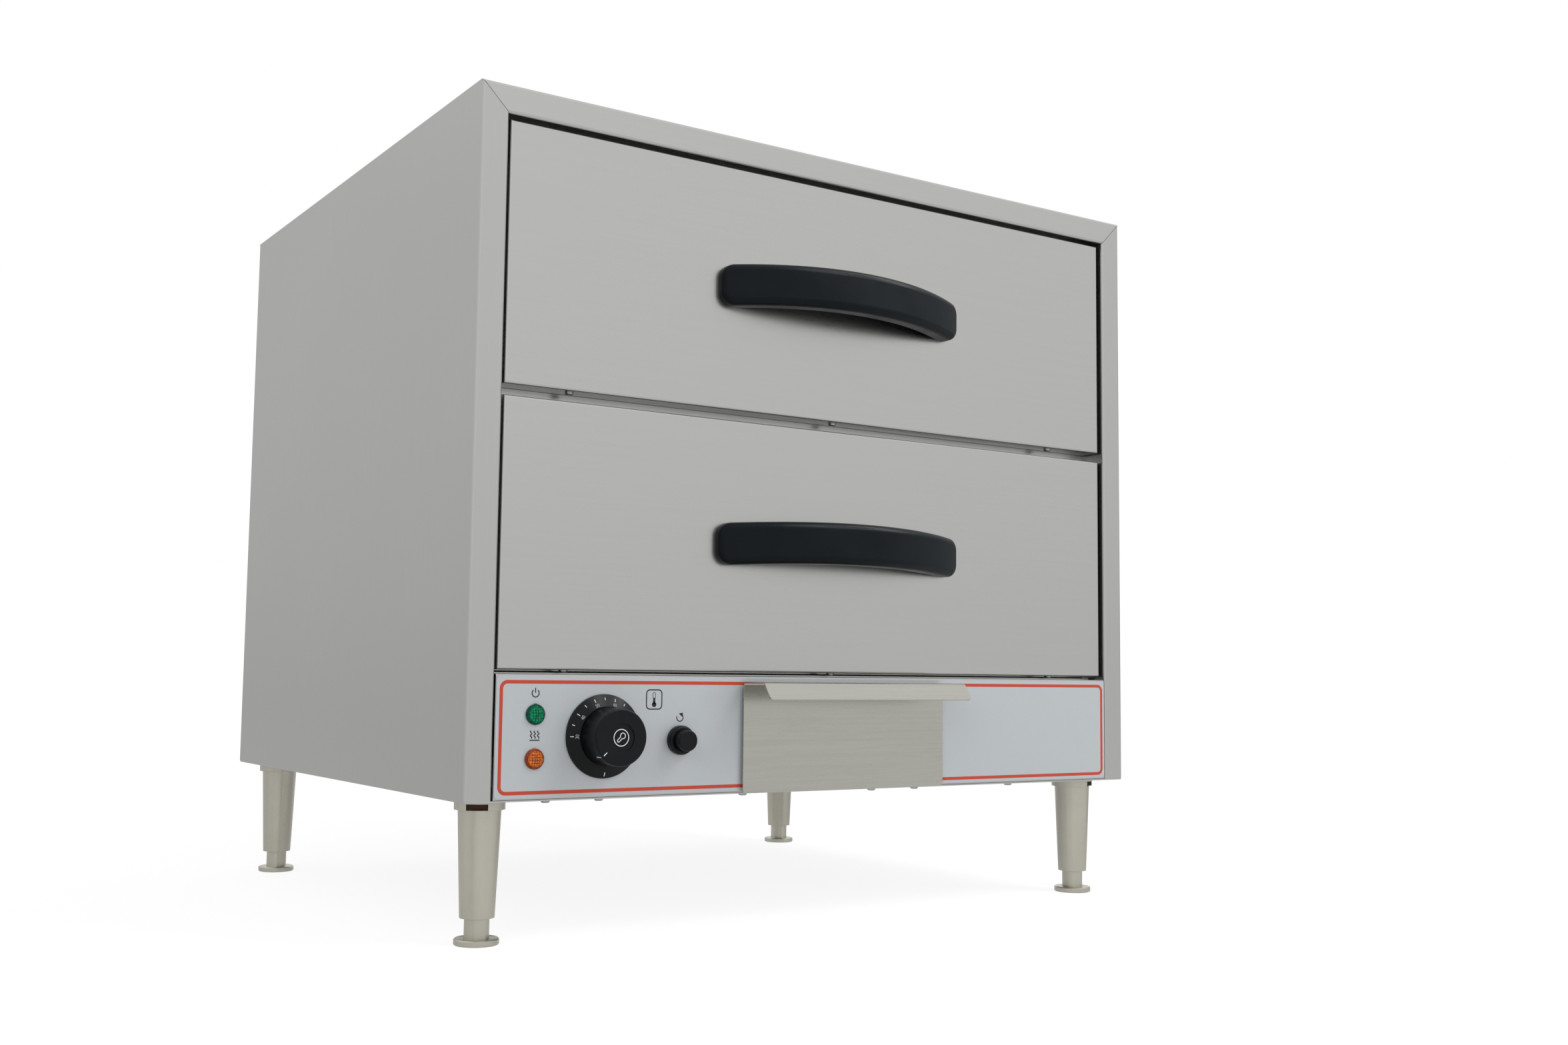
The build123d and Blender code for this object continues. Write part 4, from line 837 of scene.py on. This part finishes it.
# ---- floor and surroundings ----
# Level of the surroundings at each height of a direction, and at each bearing in degrees.
# A bearing of 0 is behind the object (+Y) and 90 is to its right (+X).
HEIGHT_LEVELS = ((-1.0, 0.62), (-0.04, 0.82), (0.04, 0.92), (0.2, 0.98), (1.0, 1.0))
BEARING_LEVELS = (
    (-180, 0.95),
    (-147, 1.0),
    (-138, 0.95),
    (-124, 0.74),
    (-108, 0.88),
    (-60, 0.75),
    (-20, 0.75),
    (-1, 0.52),
    (22, 0.85),
    (55, 0.85),
    (74, 0.5),
    (94, 0.5),
    (118, 0.88),
    (180, 0.95),
)
FLAGS_END = (0.3, 0.6)  # heights of a direction between which the darker bearings fade out
SOFT_LEVEL = 0.78  # strength of the surroundings as light on the object
FLOOR_HALF = 14.0
FLOOR_GREY = (0.86, 0.86, 0.86, 1)
FLOOR_WHITE = 1.09  # the floor's own light for the camera
FLOOR_LEVEL = 0.78  # and in mirrors, as a share of the surroundings' level at that bearing
FLOOR_GLOW = 0.8  # share of its own light in what the camera and mirrors see of it


def ray_kinds(tree):
    """Two factors: for a camera ray, and for one from the camera, a mirror or clear material."""
    path = tree.nodes.new("ShaderNodeLightPath").outputs
    direct = arithmetic(tree, "MAXIMUM", path["Is Camera Ray"], path["Is Transmission Ray"])
    return path["Is Camera Ray"], arithmetic(tree, "MAXIMUM", direct, path["Is Glossy Ray"])


def level_ramp(tree, value, low, high, stops):
    """A grey level that follows a value from stop to stop."""
    made = tree.nodes.new("ShaderNodeValToRGB")
    for _ in range(len(stops) - 2):
        made.color_ramp.elements.new(0.5)
    for element, (position, level) in zip(made.color_ramp.elements, stops):
        element.position = (position - low) / (high - low)
        element.color = (level, level, level, 1)
    connect(tree, remapped(tree, value, From_Min=low, From_Max=high), made.inputs[0])
    return made.outputs[0]


def bearing_level(tree, place):
    """The surroundings' level at the bearing of a point or direction, seen from above."""
    split = add_node(tree, "ShaderNodeSeparateXYZ", Vector=place).outputs
    turn = arithmetic(tree, "ARCTAN2", split["X"], split["Y"])
    stops = [(math.radians(angle), level) for angle, level in BEARING_LEVELS]
    return level_ramp(tree, turn, -math.pi, math.pi, stops)


def floor_material():
    """Matt grey that takes shadows, and for the camera and mirrors mostly a light of its own."""
    material = bpy.data.materials.new("pale_floor")
    material.use_nodes = True
    tree = material.node_tree
    tree.nodes.remove(tree.nodes["Principled BSDF"])
    camera_ray, seen = ray_kinds(tree)
    place = tree.nodes.new("ShaderNodeTexCoord").outputs["Object"]
    mirrored = arithmetic(tree, "MULTIPLY", bearing_level(tree, place), FLOOR_LEVEL)
    strength = mixed(tree, "FLOAT", camera_ray, mirrored, FLOOR_WHITE)
    matt = add_node(tree, "ShaderNodeBsdfDiffuse", Color=FLOOR_GREY)
    glow = add_node(tree, "ShaderNodeEmission", Strength=strength)
    mix = tree.nodes.new("ShaderNodeMixShader")
    parts = (arithmetic(tree, "MULTIPLY", seen, FLOOR_GLOW), matt.outputs[0], glow.outputs[0])
    for entry, value in zip(mix.inputs, parts):
        connect(tree, value, entry)
    connect(tree, mix.outputs[0], tree.nodes["Material Output"].inputs[0])
    return material


def pale_floor():
    mesh = bpy.data.meshes.new("floor")
    corners = [(x * FLOOR_HALF, y * FLOOR_HALF, 0) for x, y in upright_box(-1, 1, -1, 1)]
    mesh.from_pydata(corners, [], [(0, 1, 2, 3)])
    mesh.materials.append(floor_material())
    floor = bpy.data.objects.new("floor", mesh)
    bpy.context.scene.collection.objects.link(floor)


def studio():
    """Pale surroundings with soft dark flags round the object, and a white backdrop behind it."""
    world = bpy.data.worlds.new("studio")
    bpy.context.scene.world = world
    world.use_nodes = True
    tree = world.node_tree
    background = tree.nodes["Background"].inputs
    direction = tree.nodes.new("ShaderNodeTexCoord").outputs["Generated"]
    rise = add_node(tree, "ShaderNodeSeparateXYZ", Vector=direction).outputs["Z"]
    flags_low, flags_high = FLAGS_END
    fade = remapped(tree, rise, From_Min=flags_low, From_Max=flags_high)
    round_level = mixed(tree, "FLOAT", fade, bearing_level(tree, direction), 1.0)
    height_level = level_ramp(tree, rise, -1.0, 1.0, HEIGHT_LEVELS)
    grey = arithmetic(tree, "MULTIPLY", height_level, round_level)
    camera_ray, seen = ray_kinds(tree)
    connect(tree, mixed(tree, "RGBA", camera_ray, grey, (1, 1, 1, 1)), background["Color"])
    strength = remapped(tree, seen, To_Min=SOFT_LEVEL, To_Max=1.0)
    connect(tree, strength, background["Strength"])


# ---- studio lamps ----
AIM = Vector((0, 0, 0.38))
OVERHEAD = (1.3, -1.6, 2.2)
SHINY_NODES = (
    "upper_handle",
    "lower_handle",
    "thermostat_knob",
    "dial_bezel",
    "reset_button",
    "reset_ring",
)


def studio_lamp(name, place, size, energy, mirrored=False):
    light = bpy.data.lights.new(name, "AREA")
    light.shape = "RECTANGLE"
    light.size, light.size_y = size
    light.energy = energy
    made = bpy.data.objects.new(name, light)
    bpy.context.scene.collection.objects.link(made)
    made.location = place
    made.visible_glossy = mirrored
    made.rotation_euler = (AIM - Vector(place)).to_track_quat("-Z", "Y").to_euler()
    return made


def shiny_plastics():
    """The handles, dial, knob and button, which alone catch the light of the gloss lamp."""
    group = bpy.data.collections.new("shiny_plastics")
    for node in SHINY_NODES:
        group.objects.link(nodes[node])
    return group


place_camera()
pale_floor()
studio()
studio_lamp("overhead", OVERHEAD, (1.2, 1.0), 30.0)
gloss = studio_lamp("gloss", OVERHEAD, (2.0, 1.4), 70.0, mirrored=True)
gloss.light_linking.receiver_collection = shiny_plastics()
studio_lamp("front_left", (-2.8, -2.2, 1.8), (1.6, 2.0), 26.0)
studio_lamp("front_right", (2.6, -2.6, 1.2), (1.4, 2.0), 18.0)
bpy.context.scene.view_settings.view_transform = "Standard"
